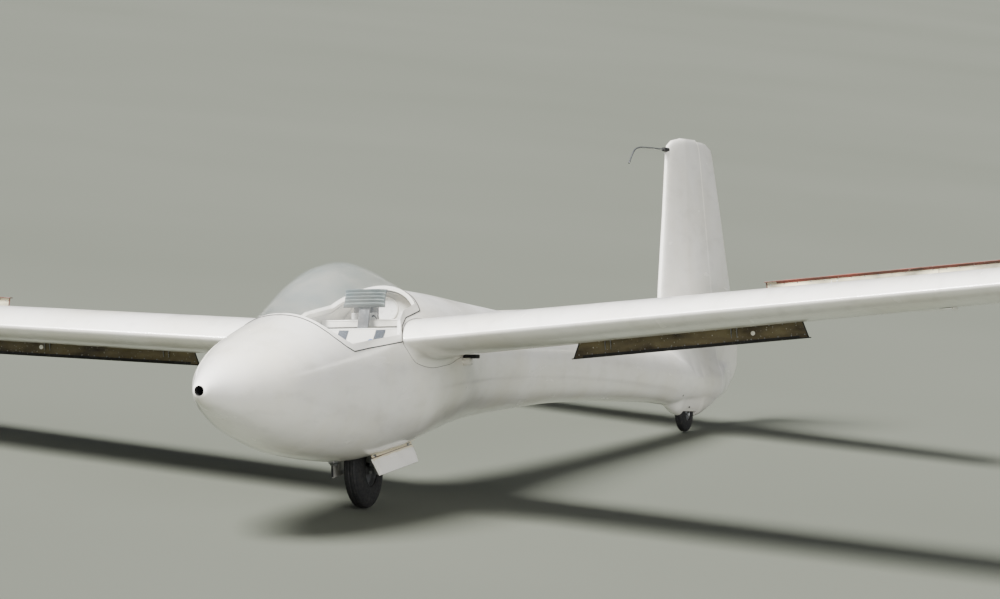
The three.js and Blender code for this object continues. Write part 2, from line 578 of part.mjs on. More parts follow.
for (const side of [1, -1]) {
  const hand = side > 0 ? 'left' : 'right';
  const underCanopy = dome(-CANOPY_SWING, 900, 2250).intersect(canopyClear);
  const whole = wingLoft(side).subtract(fuselageRoot).subtract(underCanopy);
  const ends = [AILERON.from, AILERON.to].map((x) => wingMiddle(x, AILERON.hinge, side));
  const up = new THREE.Vector3(0, 0, 1);
  const back = new THREE.Vector3(0, 1, 0);
  const fractions = AILERON.lugs.map((x) => (x - AILERON.from) / (AILERON.to - AILERON.from));
  const parts = splitAtHinge(whole, ends, up, back, fractions, 400);
  let wing = parts.fixed;
  for (const brake of BRAKES) {
    const rise = (x) => x * Math.tan(WING.dihedral);
    const middle = (brake.from + brake.to) / 2;
    const { chord, thickness } = wingAt(middle);
    const s = (brake.y - WING.noseY) / chord;
    const surface = WING.noseZ - (brake.y - WING.noseY) * Math.tan(WING.incidence)
      + chord * wingSurface(s, thickness, brake.side > 0);
    const place = (x, y, d) => [side * x, y, surface + rise(x) + brake.side * d];
    const along = (x0, x1, y0, y1, d0, d1) => hull([x0, x1].flatMap(
      (x) => [y0, y1].flatMap((y) => [d0, d1].map((d) => place(x, y, d)))));
    const slotHalf = BRAKE_SLOT.wide / 2;
    const deep = brake.travel + BRAKE_SLOT.spare;
    wing = wing.subtract(along(
      brake.from - CLEAR, brake.to + CLEAR, brake.y - slotHalf, brake.y + slotHalf, -deep, 60));
    const name = `airbrake_${brake.name}_${hand}`;
    const holder = movable(`${name}_slide`, [side * middle, brake.y, surface + rise(middle)],
      [0, 0, -brake.side], 'slide', 0, brake.travel);
    const blade = BRAKE_BLADE;
    const corners = (inset, d) => [brake.from + inset, brake.to - inset].flatMap(
      (x) => [-blade.half, blade.half].map((dy) => place(x, brake.y + dy, d)));
    const foot = corners(blade.inset + brake.slant, -blade.root);
    const plate = hull([...foot, ...corners(blade.inset, brake.travel)]);
    const cap = along(brake.from, brake.to, brake.y - blade.cap, brake.y + blade.cap,
      brake.travel - blade.capThick, brake.travel);
    const feet = brake.feet.map((step) => brake.from + step).map((x) => along(
      x, x + blade.foot, brake.y - slotHalf + FIT, brake.y + slotHalf - FIT, ...blade.footAt));
    add(name, join(plate, cap, ...feet), BRAKE, holder);
  }
  add(`wing_${hand}`, wing, GELCOAT);
  const aileron = movable(`aileron_${hand}_hinge`, parts.pivot, parts.axis, 'hinge', -22, 22);
  add(`aileron_${hand}`, parts.moving, GELCOAT, aileron);
  const tip = wingMiddle(TIP_SKID.x, TIP_SKID.share, side);
  const skid = loft(TIP_SKID.ends.map((dy) => {
    const atEnd = Math.abs(dy) > TIP_SKID.middle;
    const w = atEnd ? TIP_SKID.narrow : TIP_SKID.wide;
    const top = tip.point[2] - tip.half + TIP_SKID.rise;
    const foot = tip.point[2] - tip.half - (atEnd ? TIP_SKID.shallow : TIP_SKID.deep);
    const x = side * TIP_SKID.x;
    const y = tip.point[1] + dy;
    return [[x - w, y, top], [x + w, y, top], [x + w, y, foot], [x - w, y, foot]];
  }));
  const outer = WING_STATIONS.slice(4);
  const grown = loft(outer.map(([x, chord, thick]) => wingRing(x, chord, thick + 0.0015, side)));
  add(`tip_skid_${hand}`, skid.subtract(grown), DARK);
}

// Fin, rudder and tail cone.
function finRing([z, nose, tail, half]) {
  const shape = [1, 0.85, 0.7, 0.5, 0.3, 0.15, 0.05, 0];
  const grow = (s) => Math.min(1, 2.9 * Math.sqrt(s) - 2.1 * s);
  const depth = (s) => half * grow(s) * (s > 0.3 ? (1 - s) ** 0.75 / 0.7 ** 0.75 : 1);
  const rows = [
    ...shape.map((s) => [s, 1]),
    ...shape.slice(1, -1).reverse().map((s) => [s, -1]),
    [1, -1],
  ];
  return rows.map(([s, sign]) => [
    sign * Math.max(s === 0 ? 0 : depth(s), s === 1 ? 1.2 : 0), nose + s * (tail - nose), z,
  ]);
}

const blade = loft(FIN.map(finRing));
const asStation = (row) => Object.fromEntries(STATION.map((name, k) => [name, row[k]]));
const cone = loft(TAIL_CONE.map((row) => section(asStation(row), 0, 20)));
const fairing = loft(TAIL_FAIRING.map((row) => section(asStation(row), 0, 14)));
const tailEnd = box(-300, 300, BOOM_END + FIT, 7300, -500, 1500);
const tail = join(blade, cone, fairing).intersect(tailEnd);
const rudderY = (z) => RUDDER_HINGE.y + (RUDDER_HINGE.z - z) * RUDDER_HINGE.slope;
const rudderEnds = [
  { point: [0, rudderY(RUDDER_HINGE.from), RUDDER_HINGE.from], half: RUDDER_HINGE.low },
  { point: [0, rudderY(RUDDER_HINGE.to), RUDDER_HINGE.to], half: RUDDER_HINGE.high },
];
const rudderRun = RUDDER_HINGE.to - RUDDER_HINGE.from;
const slope = new THREE.Vector3(0, -RUDDER_HINGE.slope, 1).normalize();
const backward = new THREE.Vector3(0, slope.z, -slope.y);
const rudderParts = splitAtHinge(tail, rudderEnds, new THREE.Vector3(1, 0, 0), backward,
  RUDDER_HINGE.lugs.map((z) => (z - RUDDER_HINGE.from) / rudderRun), 700);
const rudderCut = box(-200, 200, 6300, 7400, -400, RUDDER_HINGE.bottom);
const slotHalfX = TAIL.half + TAIL_SLOT.side;
const slotHalfY = TAIL.tyre + TAIL_SLOT.ends;
const wheelSlot = box(-slotHalfX, slotHalfX, TAIL.y - slotHalfY, TAIL.y + slotHalfY, -300,
  TAIL.z + TAIL.tyre + TAIL_SLOT.roof);
const stabZ = TAILPLANE.z;
const tubeY = TAILPLANE.noseY + TAILPLANE.chord * TAILPLANE.hinge;
const tube = (half, radius) => bar([-half, tubeY, stabZ], [half, tubeY, stabZ], radius, radius, 20);
const tubeBore = tube(200, TAILPLANE.tube + FIT);
const fin = rudderParts.fixed.subtract(wheelSlot).subtract(tubeBore);
add('fin', fin, GELCOAT);
const rudderHinge = movable('rudder_hinge', rudderParts.pivot, rudderParts.axis, 'hinge', -30, 30);
const rudderBody = rudderParts.moving.subtract(rudderCut).intersect(join(blade, cone));
add('rudder', rudderBody, GELCOAT, rudderHinge);

// Tailplane: two fixed halves, and elevators joined by a tube through the fin.
function stabPlan(k) {
  return {
    chord: TAILPLANE.chord + (TAILPLANE.tipChord - TAILPLANE.chord) * k,
    nose: TAILPLANE.noseY + (TAILPLANE.tipNoseY - TAILPLANE.noseY) * k,
  };
}

function stabRing(x, chord, nose, thick) {
  const below = CHORDWISE.slice(1, -1).reverse().map((s) => [s, -1]);
  const rows = [...CHORDWISE.map((s) => [s, 1]), ...below, [1, -1]];
  return rows.map(([s, sign]) => {
    const half = s === 1 ? 0.8 : chord * wingSurface(s, thick, true, 0);
    return [x, nose + s * chord, stabZ + sign * half];
  });
}

const finSkin = loft(FIN.map(([z, n, t, h]) => finRing([z, n - FIT, t + FIT, h + 2 * FIT])));
// Tailplane ends: distance from the centre, share of the taper, how far the chord and nose draw in.
const STAB_ENDS = [
  [20, 0, 0, 0, TAILPLANE.thick],
  [TAILPLANE.tipX - 60, 0.958, 0, 0, TAILPLANE.thick],
  [TAILPLANE.tipX, 1.04, 60, 30, 0.07],
];
let elevator = tube(90, TAILPLANE.tube);
for (const side of [1, -1]) {
  const hand = side > 0 ? 'left' : 'right';
  const half = loft(STAB_ENDS.map(([x, k, shorter, later, thick]) => {
    const { chord, nose } = stabPlan(k);
    return stabRing(side * x, chord - shorter, nose + later, thick);
  }));
  const hingeEnd = (x) => {
    const { chord, nose } = stabPlan(x / TAILPLANE.tipX);
    const depth = chord * wingSurface((tubeY - nose) / chord, TAILPLANE.thick, true, 0);
    return { point: [side * x, tubeY, stabZ], half: depth + 0.5 };
  };
  const parts = splitAtHinge(half, [hingeEnd(70), hingeEnd(TAILPLANE.tipX + 10)], new THREE.Vector3(0, 0, 1),
    new THREE.Vector3(0, 1, 0), TAILPLANE.lugs.map((x) => (x - 70) / (TAILPLANE.tipX - 60)), 300);
  const across = side > 0 ? [0, TAILPLANE.inboard] : [-TAILPLANE.inboard, 0];
  const inboard = box(...across, tubeY - 2 * TAILPLANE.tube, 6700, stabZ - 200, stabZ + 200);
  add(`tailplane_${hand}`, parts.fixed.subtract(finSkin).subtract(inboard), GELCOAT);
  elevator = elevator.add(parts.moving);
}
const elevatorHinge = movable('elevator_hinge', [0, tubeY, stabZ], [1, 0, 0], 'hinge', -20, 25);
add('elevator', elevator, GELCOAT, elevatorHinge);

// Main wheel, its fork and its doors.
const wheelProfile = ({ tyre, half, rim }) => [
  [-half * 0.62, rim + FIT], [-half * 0.9, rim + (tyre - rim) * 0.35], [-half, rim + (tyre - rim) * 0.55],
  [-half * 0.86, tyre - (tyre - rim) * 0.16], [-half * 0.5, tyre - (tyre - rim) * 0.03], [0, tyre],
  [half * 0.5, tyre - (tyre - rim) * 0.03], [half * 0.86, tyre - (tyre - rim) * 0.16],
  [half, rim + (tyre - rim) * 0.55], [half * 0.9, rim + (tyre - rim) * 0.35], [half * 0.62, rim + FIT],
  [-half * 0.62, rim + FIT],
];
const hubProfile = ({ half, rim, axle }) => [
  [-half * 0.8, axle + FIT], [-half * 0.8, axle + 12], [-half * 0.35, axle + 18], [-half * 0.35, rim - 12],
  [-half * 0.62, rim - 8], [-half * 0.62, rim], [half * 0.62, rim], [half * 0.62, rim - 8],
  [half * 0.35, rim - 12], [half * 0.35, axle + 18], [half * 0.8, axle + 12], [half * 0.8, axle + FIT],
  [-half * 0.8, axle + FIT],
];

function wheel(name, size, segments, axleHalf) {
  const spin = movable(`${name}_spin`, [0, size.y, size.z], [1, 0, 0], 'spin', null, null);
  add(`${name}_hub`, turned(hubProfile(size), segments).translate([0, size.y, size.z]), STEEL, spin);
  const tyreBody = turned(wheelProfile(size), segments).translate([0, size.y, size.z]);
  add(`${name}_tyre`, tyreBody, RUBBER, spin);
  const axle = bar([-axleHalf, size.y, size.z], [axleHalf, size.y, size.z], size.axle, size.axle, 14);
  add(`${name}_axle`, axle, STEEL);
}
wheel('main_wheel', MAIN, 28, MAIN.half + 24);
wheel('tail_wheel', TAIL, 20, slotHalfX - FIT);

const legIn = MAIN.half + 8;
const legOut = legIn + 12;
const legs = [1, -1].map((s) => hull([
  ...[-32, 32].flatMap((dy) => [legIn, legOut].map((x) => [s * x, MAIN.y + dy, MAIN.z + 12])),
  ...[-16, 16].flatMap((dy) => [legIn, legOut].map((x) => [s * x, MAIN.y + dy, MAIN.z - 26])),
  ...[-55, 55].flatMap((dy) => [legIn, legOut].map((x) => [s * x, MAIN.y + dy, WELL.roof - FIT])),
]));
const bridge = box(-legOut, legOut, MAIN.y - 55, MAIN.y + 55, WELL.roof - 16, WELL.roof - FIT);
const axleBore = bar([-90, MAIN.y, MAIN.z], [90, MAIN.y, MAIN.z], MAIN.axle + FIT, MAIN.axle + FIT, 14);
add('main_wheel_fork', join(...legs, bridge).subtract(axleBore), STEEL);

for (const side of [1, -1]) {
  const hand = side > 0 ? 'left' : 'right';
  const angle = THREE.MathUtils.degToRad(DOOR.out[hand]);
  // A point of the open door: along it from the hinge, and across its thickness.
  const corner = (y, along, deep) => [
    side * (DOOR.x + Math.sin(angle) * along + Math.cos(angle) * deep), y,
    doorLineZ(y) - Math.cos(angle) * along + Math.sin(angle) * deep,
  ];
  const plank = (y0, y1, from, to, deep, trim = 0) => hull([-deep, deep].flatMap((d) => [
    corner(y0, from, d), corner(y1, from, d), corner(y0 + trim, to, d), corner(y1 - trim, to, d),
  ]));
  let door = plank(DOOR.from, DOOR.to, 13, DOOR.width, DOOR.thick / 2, 12);
  for (const [end, inward] of doorBlocks) {
    const [y0, y1] = [end + inward * DOOR_KNUCKLE.from, end + inward * DOOR_KNUCKLE.to];
    const pinEnds = [corner(end, 0, 0), corner(end + inward * DOOR_KNUCKLE.pinEnd, 0, 0)];
    door = door.add(bar(corner(y0, 0, 0), corner(y1, 0, 0), DOOR_KNUCKLE.radius))
      .add(plank(Math.min(y0, y1), Math.max(y0, y1), 2, DOOR_KNUCKLE.leafTo, DOOR_KNUCKLE.leaf))
      .subtract(bar(...pinEnds, DOOR_BLOCK.pin + FIT));
  }
  const [y0, y1] = [doorBlocks[0][0], doorBlocks[1][0]];
  const axis = new THREE.Vector3(0, y1 - y0, doorLineZ(y1) - doorLineZ(y0)).normalize().multiplyScalar(side);
  const range = [DOOR.swing[0] + DOOR.out[hand], DOOR.swing[1] + DOOR.out[hand]];
  const holder = movable(`gear_door_${hand}_hinge`, [side * DOOR.x, y0, doorLineZ(y0)], axis.toArray(),
    'hinge', ...range);
  add(`gear_door_${hand}`, door, GELCOAT, holder);
}

// Cockpit fittings, each trimmed to the inside of the shell.
const inside = body(FUSELAGE, COCKPIT_YS, -WALL - FIT)
  .subtract(box(-WELL.half - WELL.wall - FIT, WELL.half + WELL.wall + FIT, WELL.from - WELL.wall - FIT,
    WELL.to + WELL.wall + FIT, -400, WELL.roof + WELL.wall + FIT));
const within = (shape) => shape.intersect(inside);

function strip(points, thick, halfWidth) {
  const below = points.map(([y, z], i) => {
    const [y0, z0] = points[Math.max(i - 1, 0)];
    const [y1, z1] = points[Math.min(i + 1, points.length - 1)];
    const length = Math.hypot(y1 - y0, z1 - z0);
    return [y + ((z1 - z0) / length) * thick, z - ((y1 - y0) / length) * thick];
  });
  return slab([...points, ...below.reverse()].reverse(), -halfWidth, halfWidth);
}

const headBoard = strip(HEAD_BOARD.line, SEAT_SHELL.thick, HEAD_BOARD.half);
add('seat_pan', join(within(strip(SEAT, SEAT_SHELL.thick, SEAT_SHELL.half)), headBoard), INTERIOR);
const cushionLine = SEAT.slice(2, 8).map(([y, z]) => [y, z + FIT + SEAT_SHELL.lift]);
const cushion = strip(cushionLine, SEAT_SHELL.cushion, SEAT_SHELL.cushionHalf);
const seatSolid = strip(SEAT, 60, SEAT_SHELL.half).translate([0, 0, FIT]);
add('seat_cushion', within(cushion.subtract(seatSolid)), FABRIC);
const both = (x) => [-x, x];
const [boardLow, boardHigh] = HEAD_BOARD.line.slice(-2);
const boardLength = Math.hypot(boardHigh[0] - boardLow[0], boardHigh[1] - boardLow[1]);
const boardWay = [(boardHigh[0] - boardLow[0]) / boardLength, (boardHigh[1] - boardLow[1]) / boardLength];
const padCorner = (x, step, lift) => [
  x,
  boardLow[0] + boardWay[0] * step - boardWay[1] * lift,
  boardLow[1] + boardWay[1] * step + boardWay[0] * lift,
];
const padCorners = ([half, low, high, lift]) => both(half).flatMap(
  (x) => [padCorner(x, low, lift), padCorner(x, high, lift)]);
add('headrest', hull(HEAD_PAD.flatMap(padCorners)), FABRIC);

const panelPlate = hull([PANEL.from, PANEL.to].flatMap((y) => PANEL.outline.flatMap(
  ([half, z]) => both(half).map((x) => [x, y, z]))));
const pedestal = hull([PEDESTAL.top, PEDESTAL.foot].flatMap(
  ([half, y0, y1, z]) => [y0, y1].flatMap((y) => both(half).map((x) => [x, y, z]))));
const hood = hull([
  ...[HOOD.from, HOOD.to].flatMap((y) => both(HOOD.low[0]).map((x) => [x, y, HOOD.low[1]])),
  ...[HOOD.highFrom, HOOD.to].flatMap((y) => both(HOOD.high[0]).map((x) => [x, y, HOOD.high[1]])),
]);
const seatCover = within(strip(SEAT, SEAT_SHELL.thick + FIT, SEAT_SHELL.half)).translate([0, 0, FIT]);
add('instrument_panel', within(join(panelPlate, pedestal, hood)).subtract(seatCover), DARK);

const holeEnds = [BULKHEAD.from - 50, BULKHEAD.to + 50].map((y) => [0, y, BULKHEAD.holeZ]);
const bulkheadHole = bar(...holeEnds, BULKHEAD.hole, BULKHEAD.hole, 18);
const bulkhead = within(box(-400, 400, BULKHEAD.from, BULKHEAD.to, -400, 600));
add('rear_bulkhead', bulkhead.subtract(bulkheadHole), INTERIOR);
add('parcel_shelf', within(box(-400, 400, SHELF.from, BULKHEAD.from - FIT, SHELF.low, SHELF.high)), INTERIOR);
const [boxX0, boxX1, boxY0, boxY1, boxTop] = SHELF_BOX;
add('shelf_box', box(boxX0, boxX1, boxY0, boxY1, SHELF.high + FIT, boxTop), DARK);
const stick = join(...STICK.map(([y0, z0, r0, y1, z1, r1]) => bar([0, y0, z0], [0, y1, z1], r0, r1)));
add('control_stick', stick.subtract(seatSolid), DARK);
const pedalBar = bar([-400, PEDAL_BAR.y, PEDAL_BAR.z], [400, PEDAL_BAR.y, PEDAL_BAR.z], PEDAL_BAR.radius);
const pedals = [-1, 1].map((side) => hull(PEDAL.corners.flatMap(
  ([y, z]) => [PEDAL.inner, PEDAL.outer].map((x) => [side * x, y, z]))));
add('rudder_pedals', within(join(pedalBar, ...pedals)), STEEL);

// Small outside pieces.
const probePath = new THREE.CatmullRomCurve3([
  [0, 6120, 1240], [0, 5900, 1240], [0, 5720, 1238], [0, 5640, 1228], [0, 5600, 1205], [0, 5542, 1152],
].map((p) => new THREE.Vector3(...p)));
const circle = (r, n) => new THREE.Shape(Array.from({ length: n }, (_, i) => new THREE.Vector2(
  r * Math.cos((i / n) * 2 * Math.PI), r * Math.sin((i / n) * 2 * Math.PI))));
const probe = new THREE.ExtrudeGeometry(circle(PROBE.radius, 8), {
  steps: 14, extrudePath: probePath, bevelEnabled: false,
});
const finOuter = loft(FIN.slice(7).map(([z, n, t, h]) => finRing([z, n - FIT, t, h + FIT])));
const onProbe = (y) => [0, y, PROBE.z];
const inFin = bar(onProbe(PROBE.rootY), onProbe(PROBE.tipY + 30), 30);
add('total_energy_probe', solid(probe).subtract(inFin), STEEL);
const socket = bar(onProbe(PROBE.rootY + FIT), onProbe(PROBE.tipY), ...PROBE.socket);
add('probe_socket', socket.subtract(finOuter), RUBBER);
add('tow_hook', box(...TOW_HOOK).subtract(podSide), STEEL);

// Parked stance: the plane under both wheels and the starboard wing tip.
function lowest(mesh, normal) {
  const position = mesh.geometry.attributes.position;
  const offset = mesh.parent.userData.pivot ?? [0, 0, 0];
  const shift = new THREE.Vector3(...offset);
  let best = null;
  const point = new THREE.Vector3();
  for (let i = 0; i < position.count; i += 1) {
    point.fromBufferAttribute(position, i).add(shift);
    const height = point.dot(normal);
    if (best === null || height < best.height) best = { height, point: point.clone() };
  }
  return best.point;
}

function parkedNormal() {
  const normal = new THREE.Vector3(0, 0, 1);
  const names = ['main_wheel_tyre', 'tail_wheel_tyre', 'tip_skid_right'];
  const supports = names.map((name) => airframe.getObjectByName(name));
  for (let step = 0; step < 12; step += 1) {
    const [a, b, c] = supports.map((mesh) => lowest(mesh, normal));
    normal.crossVectors(b.sub(a), c.sub(a)).normalize();
    if (normal.z < 0) normal.negate();
  }
  return normal;
}

const upright = new THREE.Vector3(0, 0, 1);
group.quaternion.setFromUnitVectors(parkedNormal(), upright);
group.updateMatrixWorld(true);
const bounds = new THREE.Box3().setFromObject(group, true);
group.position.set(-(bounds.min.x + bounds.max.x) / 2, -(bounds.min.y + bounds.max.y) / 2, -bounds.min.z);
group.updateMatrixWorld(true);

export default group;
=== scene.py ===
"""Dressed model of a single-seat glass-fibre sailplane, parked with its airbrakes out.

Every surface is worked out in the airframe's own frame, in millimetres: origin at the
nose tip, +X to port, +Y aft, +Z up. A Stance then carries it into the part's frame.
"""

import json
import logging
import math
from dataclasses import dataclass, field
from enum import Enum
from functools import partial
from typing import Any, Callable, Optional, Sequence

import bmesh
import bpy
import numpy as np
from mathutils import Matrix


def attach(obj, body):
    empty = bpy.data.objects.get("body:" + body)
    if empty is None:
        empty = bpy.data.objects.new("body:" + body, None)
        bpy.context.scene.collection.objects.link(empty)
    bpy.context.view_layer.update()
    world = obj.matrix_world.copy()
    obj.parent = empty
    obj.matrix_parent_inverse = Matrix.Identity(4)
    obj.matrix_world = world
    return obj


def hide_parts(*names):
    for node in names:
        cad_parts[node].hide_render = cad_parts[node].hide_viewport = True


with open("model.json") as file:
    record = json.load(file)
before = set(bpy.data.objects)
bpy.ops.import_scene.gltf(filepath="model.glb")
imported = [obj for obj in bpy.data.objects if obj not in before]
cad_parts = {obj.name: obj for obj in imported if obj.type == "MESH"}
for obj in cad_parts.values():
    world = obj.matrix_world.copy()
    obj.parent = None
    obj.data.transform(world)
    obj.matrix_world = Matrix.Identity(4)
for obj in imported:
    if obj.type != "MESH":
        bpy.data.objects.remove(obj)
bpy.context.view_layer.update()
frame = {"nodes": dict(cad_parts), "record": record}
LOG = logging.getLogger("sailplane")
Array = np.ndarray
Material = bpy.types.Material
Socket = bpy.types.NodeSocket
Pairs = tuple[tuple[float, float], ...]
Triples = tuple[tuple[float, float, float], ...]
Rows = tuple[tuple[float, ...], ...]
MM = 0.001
MIRROR = np.array([-1.0, 1.0, 1.0])
CENTRE = np.array([0.0, 1.0, 1.0])
HANDS = (("left", 1), ("right", -1))


# Frames and curves


@dataclass(frozen=True)
class Stance:
    """Where the airframe's own frame stands in the part's frame as it parks."""

    turn: Array
    move: Array

    @classmethod
    def from_record(cls, record: dict[str, Any]) -> "Stance":
        """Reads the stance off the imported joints.

        The elevator's axis is the airframe's X, the airbrakes slide along its Z, and the
        elevator's pivot is a point known in both frames.

        Args:
            record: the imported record.

        Returns:
            The stance.
        """
        joints = {joint["name"]: joint for joint in record["behaviour"]["joints"]}
        across = np.array(joints["elevator_hinge"]["axis"], float)
        across /= np.linalg.norm(across)
        upward = -np.array(joints["airbrake_upper_left_slide"]["axis"], float)
        aft = np.cross(upward, across)
        aft /= np.linalg.norm(aft)
        turn = np.stack([across, aft, np.cross(across, aft)], axis=1)
        pivot = np.array(joints["elevator_hinge"]["pos_m"], float)
        return cls(turn, pivot - turn @ (np.array([0.0, Tailplane.hinge_y, Tailplane.z]) * MM))

    def place(self, points: Array) -> Array:
        """Airframe millimetres to metres in the part's frame."""
        return points * MM @ self.turn.T + self.move

    def matrix(self) -> Matrix:
        """The same as a 4 by 4 matrix that takes metres."""
        full = np.eye(4)
        full[:3, :3] = self.turn
        full[:3, 3] = self.move
        return Matrix(full.tolist())


def eased(xs: Sequence[float], ys: Sequence[float], at: Array) -> Array:
    """Smooth curve through a table: cubic steps whose slopes never overshoot.

    Each inner slope is the harmonic mean of the two chords beside it, or zero where they
    disagree in sign, and the end slopes are those of the end chords.

    Args:
        xs: places, rising.
        ys: values there.
        at: where the curve is wanted.

    Returns:
        The curve's values.
    """
    xs, ys, at = (np.asarray(v, float) for v in (xs, ys, at))
    chord = np.diff(ys) / np.diff(xs)
    before, after = chord[:-1], chord[1:]
    total = before + after
    mean = np.where(before * after > 0, 2 * before * after / np.where(total == 0, 1, total), 0.0)
    slope = np.concatenate(([chord[0]], mean, [chord[-1]]))
    at = np.clip(at, xs[0], xs[-1])
    i = np.clip(np.searchsorted(xs, at, side="right") - 1, 0, len(xs) - 2)
    step = xs[i + 1] - xs[i]
    t = (at - xs[i]) / step
    return (
        ys[i] * (1 + 2 * t) * (1 - t) ** 2
        + step * slope[i] * t * (1 - t) ** 2
        + ys[i + 1] * t * t * (3 - 2 * t)
        + step * slope[i + 1] * t * t * (t - 1)
    )


def smooth(t: Array) -> Array:
    """Smooth step from 0 to 1."""
    t = np.clip(t, 0.0, 1.0)
    return t * t * (3 - 2 * t)


def round_max(a: Array, b: Array, k: Any) -> Array:
    """The larger of two values with the corner between them rounded over a width k."""
    return (a + b + np.sqrt((a - b) ** 2 + np.asarray(k, float) ** 2)) / 2


def merged(*lists: Sequence[float], gap: float = 0.05) -> Array:
    """All values of the lists, sorted, with those closer than a gap to the last left out."""
    values = np.sort(np.concatenate([np.atleast_1d(np.asarray(v, float)) for v in lists]))
    keep = np.concatenate(([True], np.diff(values) > gap))
    return values[keep]


def close_to(values: Array, others: Array, gap: float) -> Array:
    """Which values lie nearer than a gap to one of the others."""
    return np.abs(values[:, None] - others[None, :]).min(axis=1) < gap


def thinned(values: Array, anchors: Sequence[float], gap: float) -> Array:
    """The values with those near an anchor left out, and the anchors put in."""
    anchors = np.asarray(anchors, float)
    return np.sort(np.concatenate([values[~close_to(values, anchors, gap)], anchors]))


def distance_along(points: Array) -> Array:
    """Distance from a line's first point to each of its points."""
    return np.concatenate(([0], np.cumsum(np.linalg.norm(np.diff(points, axis=0), axis=1))))


def circle(count: int) -> Array:
    """Angles of evenly spaced points round a circle."""
    return np.linspace(0, 2 * np.pi, count + 1)[:-1]


def section_depth(s: Array) -> Array:
    """Half depth of the usual four-digit section of 20 percent, at a fraction of the chord
    drawn towards the nose by the power 1.211."""
    q = np.maximum(s, 0) ** 1.211
    return 0.2969 * np.sqrt(q) - 0.126 * q - 0.3516 * q**2 + 0.2843 * q**3 - 0.1036 * q**4


# Meshes


@dataclass
class Skin:
    """Collects the grids of one piece and welds them into one closed mesh."""

    points: list[Array] = field(default_factory=list)
    quads: list[Array] = field(default_factory=list)
    rings: list[list[int]] = field(default_factory=list)
    marks: list[Array] = field(default_factory=list)
    ring_marks: list[int] = field(default_factory=list)
    count: int = 0

    def grid(self, points: Array, keep: Optional[Array] = None, mark: int = 0,
             around: bool = False) -> "Skin":
        """Adds four-sided faces over a grid of points.

        Args:
            points: rows by columns by 3, in millimetres.
            keep: one truth value for each face, or none for all.
            mark: the material's number.
            around: True if the last row joins the first.

        Returns:
            The skin.
        """
        rows, columns = points.shape[:2]
        number = self.count + np.arange(rows * columns).reshape(rows, columns)
        if around:
            number = np.vstack([number, number[:1]])
        faces = np.stack([number[:-1, :-1], number[1:, :-1], number[1:, 1:], number[:-1, 1:]], axis=-1)
        faces = faces.reshape(-1, 4) if keep is None else faces[keep]
        self.points.append(points.reshape(-1, 3))
        self.quads.append(faces)
        self.marks.append(np.full(len(faces), mark))
        self.count += rows * columns
        return self

    def cap(self, ring: Array, mark: int = 0) -> "Skin":
        """Adds one face over a closed ring of points."""
        self.points.append(ring)
        self.rings.append(list(range(self.count, self.count + len(ring))))
        self.ring_marks.append(mark)
        self.count += len(ring)
        return self

    def strips(self, pairs: Sequence[Any], mark: int = 0) -> "Skin":
        """Adds faces between the lines of each set."""
        for pair in pairs:
            self.grid(np.stack(pair), mark=mark)
        return self

    def mirrored(self) -> "Skin":
        """The same skin with its mirror image across X = 0 added."""
        return Skin().add(self, self.flipped(-1))

    def flipped(self, side: int) -> "Skin":
        """The skin itself for side 1, or its mirror image for side -1."""
        if side > 0:
            return self
        return Skin([p * MIRROR for p in self.points], [q[:, ::-1] for q in self.quads],
                    [ring[::-1] for ring in self.rings], self.marks, self.ring_marks, self.count)

    def add(self, *others: "Skin") -> "Skin":
        """Adds other skins' grids to this one."""
        for other in others:
            self.points += other.points
            self.quads += [q + self.count for q in other.quads]
            self.rings += [[i + self.count for i in ring] for ring in other.rings]
            self.marks += other.marks
            self.ring_marks += other.ring_marks
            self.count += other.count
        return self

    def build(self, name: str, stance: Stance, materials: Sequence[Material],
              sharp: float = 32.0, weld: float = 0.02) -> bpy.types.Object:
        """Makes the welded mesh object in the part's frame.

        The mesh keeps each point's place in the airframe's frame, in metres, in the
        attribute "airframe", which the materials read.

        Args:
            name: the piece's name.
            stance: where the airframe stands.
            materials: its materials, in the order of the marks.
            sharp: the edge angle in degrees above which shading breaks.
            weld: points closer than this, in millimetres, become one.

        Returns:
            The object.
        """
        mesh = bpy.data.meshes.new(name)
        points = np.concatenate(self.points) * MM
        faces = np.concatenate(self.quads).tolist() + self.rings
        mesh.from_pydata(points.tolist(), [], faces)
        marks = np.concatenate(self.marks + [np.array(self.ring_marks, int)]).astype(np.int32)
        mesh.polygons.foreach_set("material_index", marks)
        work = bmesh.new()
        work.from_mesh(mesh)
        bmesh.ops.remove_doubles(work, verts=work.verts[:], dist=weld * MM)
        bmesh.ops.dissolve_degenerate(work, edges=work.edges[:], dist=weld * MM / 4)
        bmesh.ops.recalc_face_normals(work, faces=work.faces[:])
        work.to_mesh(mesh)
        work.free()
        place = np.empty(len(mesh.vertices) * 3, np.float32)
        mesh.vertices.foreach_get("co", place)
        own = mesh.attributes.new("airframe", "FLOAT_VECTOR", "POINT")
        own.data.foreach_set("vector", place)
        moved = stance.place(place.reshape(-1, 3).astype(float) / MM).astype(np.float32)
        mesh.vertices.foreach_set("co", moved.ravel())
        mesh.shade_smooth()
        mesh.set_sharp_from_angle(angle=math.radians(sharp))
        for material in materials:
            mesh.materials.append(material)
        mesh.update()
        piece = bpy.data.objects.new(name, mesh)
        bpy.context.scene.collection.objects.link(piece)
        return piece


def open_edges(piece: bpy.types.Object) -> int:
    """How many edges of a piece don't join two faces."""
    work = bmesh.new()
    work.from_mesh(piece.data)
    loose = sum(1 for edge in work.edges if len(edge.link_faces) != 2)
    work.free()
    return loose


